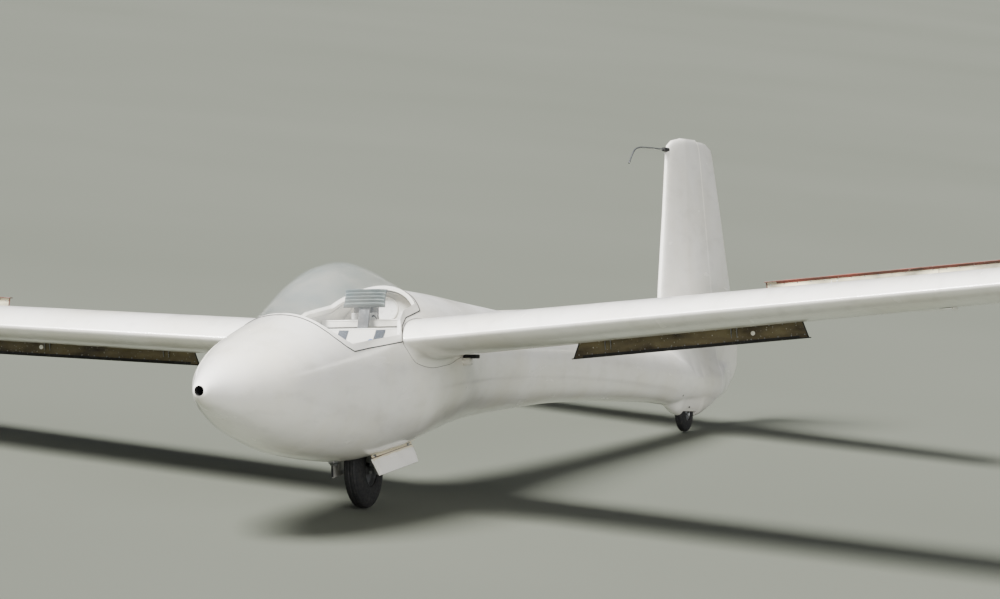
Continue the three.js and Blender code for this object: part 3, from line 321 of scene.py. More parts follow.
def finish_piece(piece: bpy.types.Object, body: str, nodes: Sequence[str] = ()) -> None:
    """Rides a piece on its body, hides the nodes it stands for, and reports it.

    Args:
        piece: the object.
        body: the body it moves with.
        nodes: the nodes it stands for.
    """
    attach(piece, body)
    if nodes:
        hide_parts(*nodes)
    LOG.info("%s: %d faces, %d loose edges, rides on %s", piece.name, len(piece.data.polygons),
             open_edges(piece), body)


def make_pieces(stance: Stance, rows: Sequence[Any], body: str = "airframe") -> list[bpy.types.Object]:
    """Builds and finishes several pieces of one body.

    Args:
        stance: where the airframe stands.
        rows: name, skin, materials, slot, nodes and, if not 32, the angle of sharp edges.
        body: the body that they move with.

    Returns:
        The objects.
    """
    pieces = []
    for name, skin, materials, slot, nodes, *sharp in rows:
        piece = skin.build(name, stance, materials, *sharp)
        finish_piece(piece, body, nodes)
        pieces.append(piece)
    return pieces


# Small shapes


def unit(vector: Any) -> Array:
    """A vector of length one in the same direction."""
    vector = np.asarray(vector, float)
    return vector / np.linalg.norm(vector, axis=-1, keepdims=True)


def square_pair(along: Array) -> tuple[Array, Array]:
    """Two directions square to a direction and to each other."""
    helper = np.array([0.0, 0.0, 1.0]) if abs(along[2]) < 0.9 else np.array([1.0, 0.0, 0.0])
    a = unit(np.cross(along, helper))
    return a, np.cross(along, a)


def tube(rings: Array, mark: int = 0) -> Skin:
    """A closed body over rings of points: around the ring by along the body by 3."""
    skin = Skin().grid(rings, mark=mark, around=True)
    for end in (0, -1):
        if np.ptp(rings[:, end], axis=0).max() > 0.05:
            skin.cap(rings[:, end], mark=mark)
    return skin


def turned_about(start: Any, along: Any, profile: Sequence[tuple[float, float]], sides: int = 20,
                 mark: int = 0) -> Skin:
    """A body turned about an axis.

    Point = start + along * step + (a cos t + b sin t) * radius for every (step, radius) of
    the profile, with a and b square to the axis.

    Args:
        start: where the axis starts.
        along: the axis.
        profile: steps along the axis and radii.
        sides: points round.
        mark: the material's number.

    Returns:
        The body.
    """
    along = unit(along)
    a, b = square_pair(along)
    t = circle(sides)[:, None, None]
    step, radius = np.array(profile, float).T
    rings = np.asarray(start, float) + along * step[None, :, None]
    return tube(rings + radius[None, :, None] * (a * np.cos(t) + b * np.sin(t)), mark)


def rod(start: Any, end: Any, radius: float, sides: int = 18, mark: int = 0, soft: float = 0.25) -> Skin:
    """A round bar between two points with softened ends."""
    start, end = np.asarray(start, float), np.asarray(end, float)
    long = float(np.linalg.norm(end - start))
    edge = radius * soft
    near = edge * 0.3
    profile = [(0, radius - edge), (near, radius - near), (edge, radius), (long - edge, radius),
               (long - near, radius - near), (long, radius - edge)]
    return turned_about(start, end - start, profile, sides, mark)


def pipe(path: Array, radius: Any, sides: int = 14, mark: int = 0) -> Skin:
    """A round tube along a path of points: at each point a ring square to the path."""
    path = np.asarray(path, float)
    ahead = unit(np.gradient(path, axis=0))
    helper = np.array([0.0, 0.0, 1.0]) if np.abs(ahead[:, 2]).max() < 0.95 else np.array([1.0, 0.0, 0.0])
    a = unit(np.cross(ahead, helper))
    b = np.cross(ahead, a)
    t = circle(sides)[:, None, None]
    radius = np.broadcast_to(radius, len(path))[None, :, None]
    return tube(path[None] + radius * (a[None] * np.cos(t) + b[None] * np.sin(t)), mark)


def ribbon(path: Array, across: Array, width: Any, thick: float, mark: int = 0) -> Skin:
    """A flat strap along a path: its section is a rectangle with cut corners."""
    path = np.asarray(path, float)
    ahead = unit(np.gradient(path, axis=0))
    across = np.broadcast_to(np.asarray(across, float), path.shape)
    across = unit(across - ahead * np.sum(across * ahead, axis=1, keepdims=True))
    out = np.cross(ahead, across)
    section = np.array([(-1, -0.5), (-0.96, -1), (0.96, -1), (1, -0.5),
                        (1, 0.5), (0.96, 1), (-0.96, 1), (-1, 0.5)])
    half = np.broadcast_to(width, len(path))[None, :, None] / 2
    rings = path[None] + section[:, None, :1] * half * across[None]
    return tube(rings + section[:, None, 1:] * thick / 2 * out[None], mark)


def edge_pairs(a: Array, b: Array) -> list[tuple[Array, Array]]:
    """The four edges of a grid, each with the same edge of another."""
    return [(a[k], b[k]) for k in (0, -1)] + [(a[:, k], b[:, k]) for k in (0, -1)]


def closed_pair(outer: Array, inner: Array, mark: int = 0) -> Skin:
    """A closed body between two grids of equal size, with strips round their edges."""
    return Skin().grid(outer, mark=mark).grid(inner, mark=mark).strips(edge_pairs(outer, inner), mark)


def rounded(corners: Any, radius: float, count: int = 4) -> Array:
    """An outline with its corners rounded by short parabolas."""
    corners = np.asarray(corners, float)
    before, after = np.roll(corners, 1, axis=0), np.roll(corners, -1, axis=0)
    a = corners + unit(before - corners) * radius
    b = corners + unit(after - corners) * radius
    t = np.linspace(0, 1, count)[None, :, None]
    arcs = a[:, None] * (1 - t) ** 2 + corners[:, None] * 2 * t * (1 - t) + b[:, None] * t**2
    return arcs.reshape(-1, corners.shape[1])


def panel(outline: Array, thick: float, bevel: float = 0.8, mark: int = 0) -> Skin:
    """A flat plate over an outline in space, its edges bevelled.

    Args:
        outline: points round a flat outline, in order.
        thick: the plate's thickness, half to each side.
        bevel: width of the bevel.
        mark: the material's number.

    Returns:
        The plate.
    """
    outline = np.asarray(outline, float)
    after, before = np.roll(outline, -1, axis=0), np.roll(outline, 1, axis=0)
    normal = unit(np.cross(outline - outline.mean(axis=0), after - outline).sum(axis=0))
    inward = np.cross(normal, unit(outline - before)) + np.cross(normal, unit(after - outline))
    inward /= np.maximum((inward**2).sum(axis=1, keepdims=True) / 2, 0.5)
    steps = ((-thick / 2, bevel), (bevel - thick / 2, 0.0), (thick / 2 - bevel, 0.0), (thick / 2, bevel))
    rings = np.stack([outline + normal * up + inward * inset for up, inset in steps], axis=1)
    return tube(rings, mark)


def block(low: Any, high: Any, bevel: float = 2.0, mark: int = 0) -> Skin:
    """A box between two corners with its vertical edges rounded and its rims bevelled."""
    (x0, y0, z0), (x1, y1, z1) = low, high
    middle = (z0 + z1) / 2
    outline = rounded([(x0, y0, middle), (x1, y0, middle), (x1, y1, middle), (x0, y1, middle)],
                      min(bevel * 2, (x1 - x0) / 3, (y1 - y0) / 3))
    return panel(outline, z1 - z0, bevel, mark)


def blister(surface: Any, height: float, deep: float = 1.0, rings: int = 5, sides: int = 28,
            mark: int = 0) -> Skin:
    """A thin lens on a surface.

    Args:
        surface: gives the point and the outward normal at unit-disc coordinates.
        height: how far it stands out at its middle.
        deep: how far its underside lies in the surface.
        rings: rings from the middle to the edge.
        sides: points round.
        mark: the material's number.

    Returns:
        The body.
    """
    t = circle(sides)[:, None]
    r = np.concatenate([np.linspace(0, 1, rings), [1.0, 0.0]])[None, :]
    point, normal = surface(r * np.cos(t), r * np.sin(t))
    rise = np.where(np.arange(rings + 2) < rings, height * (1 - r**4), -deep)
    return tube(point + normal * rise[..., None], mark)


# Materials


class Shade(Enum):
    """The colours of the finishes, as sRGB hex values."""

    GELCOAT = "f2efe8"
    GELCOAT_AGED = "e6e1d3"
    GRIME = "6f6a5a"
    TAPE = "d9cfb4"
    LINING = "d2cfc6"
    COVER = "e4e3de"
    # Painted shade: the lower airbrakes' dark olive-brown stands for the shade under the wing; the upper
    # blades are cream.
    BRAKE_SHADED_OLIVE = "6d6245"
    BRAKE_DARK = "2f2417"
    BRAKE_CREAM = "d8cfae"
    BRAKE_CAP = "1d1915"
    BRAKE_RED = "6a2f22"
    STEEL = "8c8e90"
    RUBBER = "101011"
    DUST = "6b6458"
    CLOTH = "3b4641"
    CLOTH_PALE = "4f5c58"
    CLOTH_DARK = "2b302d"
    WEBBING = "2a3140"
    LEVER = "1d4f9a"
    BLACK = "17181a"
    DIAL_WHITE = "ecebe6"
    # Painted reflection: the canopy's pale veil, for the sky mirrored in it.
    ACRYLIC_SKY_VEIL = "b9c6cc"
    FLOOR = "53564c"

    def linear(self, alpha: float = 1.0) -> tuple[float, float, float, float]:
        """The colour in linear light, by the sRGB curve."""
        parts = [int(self.value[i:i + 2], 16) / 255 for i in (0, 2, 4)]
        light = [c / 12.92 if c <= 0.04045 else ((c + 0.055) / 1.055) ** 2.4 for c in parts]
        return (light[0], light[1], light[2], alpha)


class Nodes:
    """A material's node tree under one roof: adds nodes with their settings and links."""

    def __init__(self, name: str, own: bool = True) -> None:
        """Starts a tree with a Principled shader.

        Args:
            name: the material's name.
            own: True where patterns follow the piece's own attribute, the point on the
                airframe in metres, and False where they follow Object coordinates.
        """
        self.material = bpy.data.materials.new(name)
        self.material.use_nodes = True
        self.tree = self.material.node_tree
        self.shader = self.tree.nodes["Principled BSDF"]
        if own:
            self.spot = self.add("ShaderNodeAttribute", {"attribute_name": "airframe"}).outputs["Vector"]
        else:
            self.spot = self.add("ShaderNodeTexCoord").outputs["Object"]

    def add(self, kind: str, settings: Optional[dict[str, Any]] = None,
            **inputs: Any) -> bpy.types.Node:
        """Adds one node.

        Args:
            kind: the node's type name.
            settings: its own properties.
            **inputs: values, or output sockets to link, by input name with _ for a space,
                or in_N for the input at place N.

        Returns:
            The node.
        """
        node = self.tree.nodes.new(kind)
        for key, value in (settings or {}).items():
            setattr(node, key, value)
        for key, value in inputs.items():
            place = int(key[3:]) if key.startswith("in_") else key.replace("_", " ")
            self.feed(node.inputs[place], value)
        return node

    def feed(self, socket: Socket, value: Any) -> None:
        """Sets a socket to a value or links an output to it."""
        if isinstance(value, bpy.types.NodeSocket):
            self.tree.links.new(value, socket)
        else:
            socket.default_value = value

    def surface(self, **inputs: Any) -> Material:
        """Sets or links the shader's own sockets and gives the material."""
        for key, value in inputs.items():
            self.feed(self.shader.inputs[key.replace("_", " ")], value)
        return self.material

    def noise(self, size_mm: float, detail: float = 3.0,
              stretch: tuple[float, float, float] = (1, 1, 1)) -> Socket:
        """Cloudy noise whose patches are about size_mm wide, stretched along the axes."""
        scale = tuple(1000 / size_mm / s for s in stretch)
        spread = self.add("ShaderNodeMapping", Vector=self.spot, Scale=scale).outputs[0]
        return self.add("ShaderNodeTexNoise", Vector=spread, Scale=1.0, Detail=detail).outputs["Fac"]

    def ramp(self, value: Socket, low: float, high: float,
             to_low: float = 0.0, to_high: float = 1.0) -> Socket:
        """Maps a value from one range to another, held at the ends."""
        node = self.add("ShaderNodeMapRange", in_0=value, in_1=low, in_2=high, in_3=to_low, in_4=to_high)
        return node.outputs[0]

    def mix(self, share: Any, a: "Shade | Socket", b: "Shade") -> Socket:
        """Mixes a shade or a colour with another shade by a share."""
        first = a.linear() if isinstance(a, Shade) else a
        node = self.add("ShaderNodeMix", {"data_type": "RGBA"}, in_0=share, in_6=first, in_7=b.linear())
        return node.outputs[2]

    def sum(self, kind: str, a: Any, b: Any = 0.0) -> Socket:
        """One step of arithmetic."""
        return self.add("ShaderNodeMath", {"operation": kind}, in_0=a, in_1=b).outputs[0]

    def wave(self, run: Any, pitch: float) -> Socket:
        """Sine of a run times a pitch in radians per metre."""
        return self.sum("SINE", self.sum("MULTIPLY", run, pitch))

    def axes(self) -> tuple[Socket, ...]:
        """The three coordinates of the point."""
        return tuple(self.add("ShaderNodeSeparateXYZ", Vector=self.spot).outputs)

    def bump(self, height: Socket, depth_mm: float) -> Socket:
        """Surface relief of a real depth."""
        return self.add("ShaderNodeBump", Height=height, Distance=depth_mm * MM, Strength=1.0).outputs[0]


@dataclass(frozen=True)
class PolishedGelcoat:
    """White polyester gelcoat, sprayed in a mould and polished.

    It gives a bright, glossy, very slightly wavy skin that has yellowed a little in
    patches and carries a faint film of dust.
    """

    def make(self) -> Material:
        """Builds the material."""
        n = Nodes("gelcoat_polished_white")
        colour = n.mix(n.ramp(n.noise(420, 4), 0.4, 0.7), Shade.GELCOAT, Shade.GELCOAT_AGED)
        film = n.ramp(n.noise(60, 6, (1, 3, 1)), 0.52, 0.8, 0.0, 0.16)
        colour = n.mix(film, colour, Shade.GRIME)
        rough = n.ramp(n.noise(90, 5, (1, 4, 1)), 0.3, 0.75, 0.13, 0.3)
        return n.surface(Base_Color=colour, Roughness=rough, Normal=n.bump(n.noise(160, 2), 0.25),
                         IOR=1.5, Coat_Weight=0.35, Coat_Roughness=0.06)


@dataclass(frozen=True)
class PaintedLaminate:
    """Hand-laid glass laminate painted pale grey: matt, with the weave just showing.

    The weave is drawn at 6 mm so that it shows.
    """

    own: bool = True
    pitch: float = 1050.0

    def make(self) -> Material:
        """Builds the material."""
        n = Nodes("laminate_painted" + ("" if self.own else "_cad"), self.own)
        x, y, _ = n.axes()
        weave = n.sum("MULTIPLY", n.wave(x, self.pitch), n.wave(y, self.pitch))
        colour = n.mix(n.ramp(n.noise(70, 6), 0.5, 0.8, 0.0, 0.35), Shade.LINING, Shade.DUST)
        rough = n.ramp(n.noise(30, 4), 0.3, 0.7, 0.5, 0.72)
        return n.surface(Base_Color=colour, Roughness=rough, Normal=n.bump(weave, 0.2), IOR=1.5)


@dataclass(frozen=True)
class PrimedPlate:
    """Brush-painted plywood and aluminium of the airbrakes: patchy, dusty, chipped. Its default dark olive
    face is painted shade, for the shade under the wing.
    """

    name: str = "airbrake_paint_olive"
    # The default face is painted shade: the lower blades' dark olive.
    face: Shade = Shade.BRAKE_SHADED_OLIVE
    worn: Shade = Shade.BRAKE_DARK
    chipped: float = 0.6

    def make(self) -> Material:
        """Builds the material."""
        n = Nodes(self.name)
        colour = n.mix(n.ramp(n.noise(55, 6, (3, 1, 1)), 0.35, 0.7), self.face, self.worn)
        chips = n.ramp(n.noise(9, 5), 0.66, 0.7, 0.0, self.chipped)
        colour = n.mix(chips, colour, Shade.GELCOAT_AGED)
        rough = n.ramp(n.noise(25, 4), 0.3, 0.7, 0.4, 0.75)
        return n.surface(Base_Color=colour, Roughness=rough, IOR=1.5, Normal=n.bump(n.noise(4, 5), 0.15))


@dataclass(frozen=True)
class PlatedSteel:
    """Zinc-plated steel: grey metal with dull patches and fine scratches."""

    own: bool = False

    def make(self) -> Material:
        """Builds the material."""
        n = Nodes("steel_zinc_plated" + ("_own" if self.own else ""), self.own)
        dull = n.sum("MULTIPLY", n.ramp(n.noise(18, 6), 0.35, 0.75), 0.5)
        rough = n.ramp(n.noise(7, 5, (1, 6, 1)), 0.3, 0.7, 0.25, 0.5)
        return n.surface(Base_Color=n.mix(dull, Shade.STEEL, Shade.DUST), Roughness=rough,
                         Metallic=0.9, Normal=n.bump(n.noise(2, 3, (1, 8, 1)), 0.05))


@dataclass(frozen=True)
class WornRubber:
    """Vulcanised tyre rubber: matt black, greyed with dust in its texture."""

    own: bool = True

    def make(self) -> Material:
        """Builds the material."""
        n = Nodes("rubber_worn" + ("" if self.own else "_cad"), self.own)
        colour = n.mix(n.ramp(n.noise(22, 6), 0.48, 0.85, 0.0, 0.14), Shade.RUBBER, Shade.DUST)
        rough = n.ramp(n.noise(12, 4), 0.3, 0.7, 0.65, 0.9)
        return n.surface(Base_Color=colour, Roughness=rough, IOR=1.52, Normal=n.bump(n.noise(2.5, 4), 0.3))


@dataclass(frozen=True)
class BlackPlastic:
    """Crackle-coated black panel metal and plastic: dark, fine-grained, soft sheen."""

    own: bool = False

    def make(self) -> Material:
        """Builds the material."""
        n = Nodes("crackle_black" + ("_own" if self.own else ""), self.own)
        colour = n.mix(n.ramp(n.noise(30, 6), 0.5, 0.8, 0.0, 0.18), Shade.BLACK, Shade.DUST)
        rough = n.ramp(n.noise(9, 4), 0.3, 0.7, 0.4, 0.62)
        return n.surface(Base_Color=colour, Roughness=rough, IOR=1.5, Normal=n.bump(n.noise(1.6, 3), 0.12))


@dataclass(frozen=True)
class WovenCloth:
    """Woven seat cloth: threads drawn at 3 mm, soft sheen, paler where it is worn."""

    name: str = "cloth_woven_green_grey"
    base: Shade = Shade.CLOTH
    worn: Shade = Shade.CLOTH_PALE
    mottle: float = 0.5
    pitch: float = 2100.0

    def make(self) -> Material:
        """Builds the material."""
        n = Nodes(self.name)
        x, y, z = n.axes()
        thread = n.sum("MULTIPLY", n.wave(x, self.pitch), n.wave(n.sum("ADD", y, z), self.pitch))
        colour = n.mix(n.ramp(n.noise(38, 6), 0.38, 0.68, 0.0, self.mottle), self.base, self.worn)
        return n.surface(Base_Color=colour, Roughness=n.ramp(thread, -1, 1, 0.8, 0.95),
                         Sheen_Weight=0.3, Normal=n.bump(thread, 0.4))


@dataclass(frozen=True)
class SatinPaint:
    """Small painted or moulded parts in one colour: satin, slightly soiled."""

    name: str
    colour: Shade
    rough: float = 0.4

    def make(self) -> Material:
        """Builds the material."""
        n = Nodes(self.name)
        colour = n.mix(n.ramp(n.noise(14, 6), 0.48, 0.8, 0.0, 0.3), self.colour, Shade.GRIME)
        rough = n.ramp(n.noise(8, 4), 0.3, 0.7, self.rough, self.rough + 0.2)
        return n.surface(Base_Color=colour, Roughness=rough, IOR=1.5)


@dataclass(frozen=True)
class BlownAcrylic:
    """Blown clear acrylic: bright reflections, fine scratches, and a faint whitish veil in its colour that is
    painted reflection of the sky.
    """

    def make(self) -> Material:
        """Builds the material; see-through by a plain alpha, so that the export reads it."""
        n = Nodes("acrylic_blown_clear")
        rough = n.ramp(n.noise(5, 6, (1, 5, 1)), 0.3, 0.7, 0.03, 0.09)
        # Painted reflection: the pale blue-white colour, seen faintly through the low alpha, stands for the
        # sky mirrored in the pane.
        colour = n.mix(n.ramp(n.noise(120, 4), 0.35, 0.7), Shade.ACRYLIC_SKY_VEIL, Shade.GELCOAT)
        return n.surface(Base_Color=colour, Roughness=rough, IOR=1.49, Alpha=0.075)


@dataclass(frozen=True)
class StudioFloor:
    """Matt painted floor sheet, nearly even in colour."""

    def make(self) -> Material:
        """Builds the material."""
        n = Nodes("floor_matt_paint", False)
        clouds = n.ramp(n.noise(5000, 2), 0.3, 0.7, 0.0, 0.015)
        colour = n.mix(clouds, Shade.FLOOR, Shade.GELCOAT_AGED)
        return n.surface(Base_Color=colour, Roughness=0.85, IOR=1.4)


def made(finish: Any) -> Any:
    """A dataclass field that holds a finish's material."""
    return field(default_factory=finish.make)


@dataclass
class Finishes:
    """The finishes that the pieces share; steel, black and those ending in cad are for the
    frame's own nodes."""

    gelcoat: Material = made(PolishedGelcoat())
    lining: Material = made(PaintedLaminate())
    lining_cad: Material = made(PaintedLaminate(False))
    tape: Material = made(SatinPaint("tape_cream", Shade.TAPE, 0.5))
    cover: Material = made(SatinPaint("paint_cover", Shade.COVER, 0.5))
    # Painted shade: the lower airbrakes' dark olive face.
    brake: Material = made(PrimedPlate())
    brake_dark: Material = made(PrimedPlate("airbrake_cap_black", Shade.BRAKE_CAP, Shade.BLACK, 0.2))
    brake_cream: Material = made(PrimedPlate("airbrake_paint_cream", Shade.BRAKE_CREAM, Shade.GRIME, 0.25))
    brake_red: Material = made(PrimedPlate("airbrake_cap_red", Shade.BRAKE_RED, Shade.BRAKE_DARK, 0.2))
    steel: Material = made(PlatedSteel())
    steel_own: Material = made(PlatedSteel(True))
    rubber: Material = made(WornRubber())
    rubber_cad: Material = made(WornRubber(False))
    black: Material = made(BlackPlastic())
    black_own: Material = made(BlackPlastic(True))
    cloth: Material = made(WovenCloth())
    cloth_tubes: Material = made(WovenCloth("cloth_woven_pale", Shade.CLOTH_PALE, Shade.CLOTH, 0.35))
    cloth_dark: Material = made(WovenCloth("cloth_piping", Shade.CLOTH_DARK, Shade.CLOTH, 0.4))
    webbing: Material = made(WovenCloth("webbing_nylon", Shade.WEBBING, Shade.CLOTH, 0.3))
    dial_white: Material = made(SatinPaint("paint_dial_white", Shade.DIAL_WHITE, 0.45))
    knob: Material = made(SatinPaint("plastic_lever_knob", Shade.LEVER, 0.3))
    acrylic: Material = made(BlownAcrylic())

    def dress(self, material: Material, *nodes: str) -> None:
        """Gives nodes of the frame a better material."""
        for node in nodes:
            piece = frame["nodes"][node]
            piece.data.materials.clear()
            piece.data.materials.append(material)
            LOG.info("%s: kept from the frame, dressed in %s", node, material.name)


# Forms that several pieces share


@dataclass(frozen=True)
class RoundForm:
    """A body of flattened-circle sections along Y.

    At each y the section is x = half * cos(a)^(2/n), z = middle + reach * sin(a)^(2/n),
    for a from -90 degrees at the keel to 90 at the top; reach differs above and below.
    Table columns: y, half width, top, bottom, height of the widest line.
    """

    table: Rows
    power: float = 2.15

    def sizes(self, y: Array) -> tuple[Array, Array, Array, Array]:
        """Half width, top, bottom and middle at y."""
        rows = np.array(self.table)
        return tuple(eased(rows[:, 0], rows[:, k], y) for k in (1, 2, 3, 4))

    def point(self, y: Array, angle: Array, grow: float = 0.0) -> Array:
        """The point at an angle of the section at y, moved out by grow."""
        half, top, bottom, middle = self.sizes(y)
        reach = np.where(angle > 0, top - middle, middle - bottom) + grow
        c, s = np.maximum(np.cos(angle), 0), np.sin(angle)
        x = (half + grow) * c ** (2 / self.power)
        z = middle + reach * np.sign(s) * np.abs(s) ** (2 / self.power)
        return np.stack(np.broadcast_arrays(x, y, z), axis=-1)

    def angle_at_height(self, y: Array, z: Array, grow: float = 0.0) -> Array:
        """The section angle at a height, held between keel and top."""
        _, top, bottom, middle = self.sizes(y)
        reach = np.where(z > middle, top - middle, middle - bottom) + grow
        share = np.clip(np.abs(z - middle) / reach, 0, 1) ** (self.power / 2)
        return np.sign(z - middle) * np.arcsin(share)

    def angle_at_width(self, y: Array, x: Any, grow: float = 0.0) -> Array:
        """The section angle below the widest line at a half width."""
        half = self.sizes(y)[0] + grow
        return -np.arccos(np.clip(np.asarray(x, float) / half, 0, 1) ** (self.power / 2))

    def width(self, y: Array, z: Array, grow: float = 0.0) -> Array:
        """The half width at a height, zero above and below the section."""
        half, top, bottom, middle = self.sizes(y)
        reach = np.where(z > middle, top - middle, middle - bottom) + grow
        share = np.clip(np.abs(z - middle) / np.maximum(reach, 1e-6), 0, 1)
        return (half + grow) * (1 - share ** self.power) ** (1 / self.power)


FUSELAGE = RoundForm((
    (0, 21, 19, -25, -3), (12, 33, 32, -37, -1), (45, 49, 53, -59, 1), (120, 80, 91, -83, 5),
    (300, 155, 164, -135, 15), (600, 242, 256, -217, 35), (1000, 285, 350, -284, 55),
    (1500, 307, 426, -309, 70), (2000, 302, 470, -267, 85), (2500, 261, 454, -188, 110),
    (3000, 205, 424, -121, 130), (3600, 160, 388, -79, 150), (4400, 135, 336, -40, 145),
    (5200, 118, 285, -30, 125), (5800, 104, 246, -35, 105),
))
TAIL_CONE = RoundForm((
    (5800, 104, 246, -35, 105), (6100, 96, 226, -46, 95), (6400, 82, 208, -46, 85),
    (6700, 62, 190, -38, 80), (6930, 44, 170, 8, 95),
))


@dataclass(frozen=True)
class CanopyLine:
    """The canopy's lower edge in side view, and curves a set distance above it."""

    corners: Pairs = (
        (862, 420), (900, 300), (922, 262), (960, 226), (1025, 190), (1090, 167), (1257, 184),
        (1640, 215), (1700, 285), (1800, 325), (1930, 345), (2030, 360), (2080, 397), (2190, 475),
        (2420, 640),
    )

    def height(self, y: Array, away: float = 0.0) -> Array:
        """The edge's height at y, or that of the line a distance above it.

        The line above is the upper envelope of circles of that radius rolled along the
        edge; a negative distance gives the line below in the same way.

        Args:
            y: places along the airframe.
            away: the distance in millimetres.

        Returns:
            Heights.
        """
        corners = np.array(self.corners)
        ys = np.arange(corners[0, 0], corners[-1, 0], 1.0)
        zs = np.interp(ys, corners[:, 0], corners[:, 1])
        if away == 0:
            return np.interp(y, ys, zs)
        flat = np.atleast_1d(y).ravel()
        room = away * away - (flat[:, None] - ys[None, :]) ** 2
        rise = np.sqrt(np.maximum(room, 0))
        if away > 0:
            best = np.where(room >= 0, zs + rise, -1e9).max(axis=1)
        else:
            best = np.where(room >= 0, zs - rise, 1e9).min(axis=1)
        best = np.where(np.abs(best) > 1e8, 1e4, best)
        return best.reshape(np.shape(y))


@dataclass(frozen=True)
class Dome:
    """The canopy's outer form: the fuselage's width with a higher, rounder top."""

    line: CanopyLine = CanopyLine()
    tops: Pairs = (
        (900, 326), (1000, 358), (1100, 400), (1200, 455), (1300, 510), (1450, 556), (1630, 574),
        (1800, 557), (2000, 513), (2200, 470), (2400, 466),
    )
    powers: Pairs = ((900, 2.15), (1050, 2.05), (1300, 1.93), (2250, 1.93))
    fade: float = 90.0

    def sizes(self, y: Array) -> tuple[Array, Array, Array, Array]:
        """Half width, top, middle and squareness at y; the top never dips below the fuselage's."""
        half, top, _, middle = FUSELAGE.sizes(y)
        tops, powers = np.array(self.tops), np.array(self.powers)
        top = round_max(eased(tops[:, 0], tops[:, 1], y), top, 5.0)
        return half, top, middle, eased(powers[:, 0], powers[:, 1], y)

    def angle_at_height(self, y: Array, z: Array) -> Array:
        """The section angle at a height, at most 90 degrees."""
        _, top, middle, power = self.sizes(y)
        share = np.clip((z - middle) / (top - middle), 0, 1) ** (power / 2)
        return np.arcsin(share)

    def point(self, y: Array, angle: Array, inset: float = 0.0) -> Array:
        """The point at an angle of the section at y, moved inward by inset.

        Near the lower edge the width is drawn to the fuselage's own width there, so that
        the canopy sits flush, and this fades out over the height given by fade.

        Args:
            y: places along the airframe.
            angle: section angles.
            inset: distance inward.

        Returns:
            Points.
        """
        y, angle = np.broadcast_arrays(y, angle)
        half, top, middle, power = self.sizes(y)
        edge = self.line.height(y[0])[None, :] * np.ones_like(y) if y.ndim == 2 else self.line.height(y)
        low = self.angle_at_height(y, edge)
        low_x = half * np.maximum(np.cos(low), 1e-4) ** (2 / power)
        ratio = np.where(np.cos(low) > 0.02, FUSELAGE.width(y, edge) / np.maximum(low_x, 1.0), 1.0)
        c, s = np.maximum(np.cos(angle), 0), np.maximum(np.sin(angle), 0)
        z_out = middle + (top - middle) * s ** (2 / power)
        pull = 1 + (ratio - 1) * (1 - smooth((z_out - edge) / self.fade))
        x = (half - inset) * c ** (2 / power) * pull
        z = middle + (top - middle - inset) * s ** (2 / power)
        return np.stack([x, y, z], axis=-1)


def rim_places(form: "RoundForm | Dome", line: CanopyLine, span: tuple[float, float], step: float,
               away: float = 0.0, fine: float = 0.05, past: float = 0.05) -> Array:
    """Places along Y that cut a line near the opening's rim into equal lengths.

    Args:
        form: the body whose skin the line lies on.
        line: the opening's side view.
        span: where to look from and to.
        step: length of line between places.
        away: the line's distance above the opening's edge.
        fine: how finely the line is followed.
        past: how far the first and last place lie beyond it.

    Returns:
        Places, rising, from where the line leaves the centre to where it returns.
    """
    y = np.arange(*span, fine)
    y = y[line.height(y, away) < form.sizes(y)[1]]
    points = form.point(y, form.angle_at_height(y, line.height(y, away)))
    run = distance_along(points) + points[0, 0]
    marks = np.linspace(0, run[-1] + points[-1, 0], int(run[-1] / step) + 2)
    return merged(np.interp(marks, run, y), [y[0] - past, y[-1] + past], gap=0.02)


# The fuselage moulding


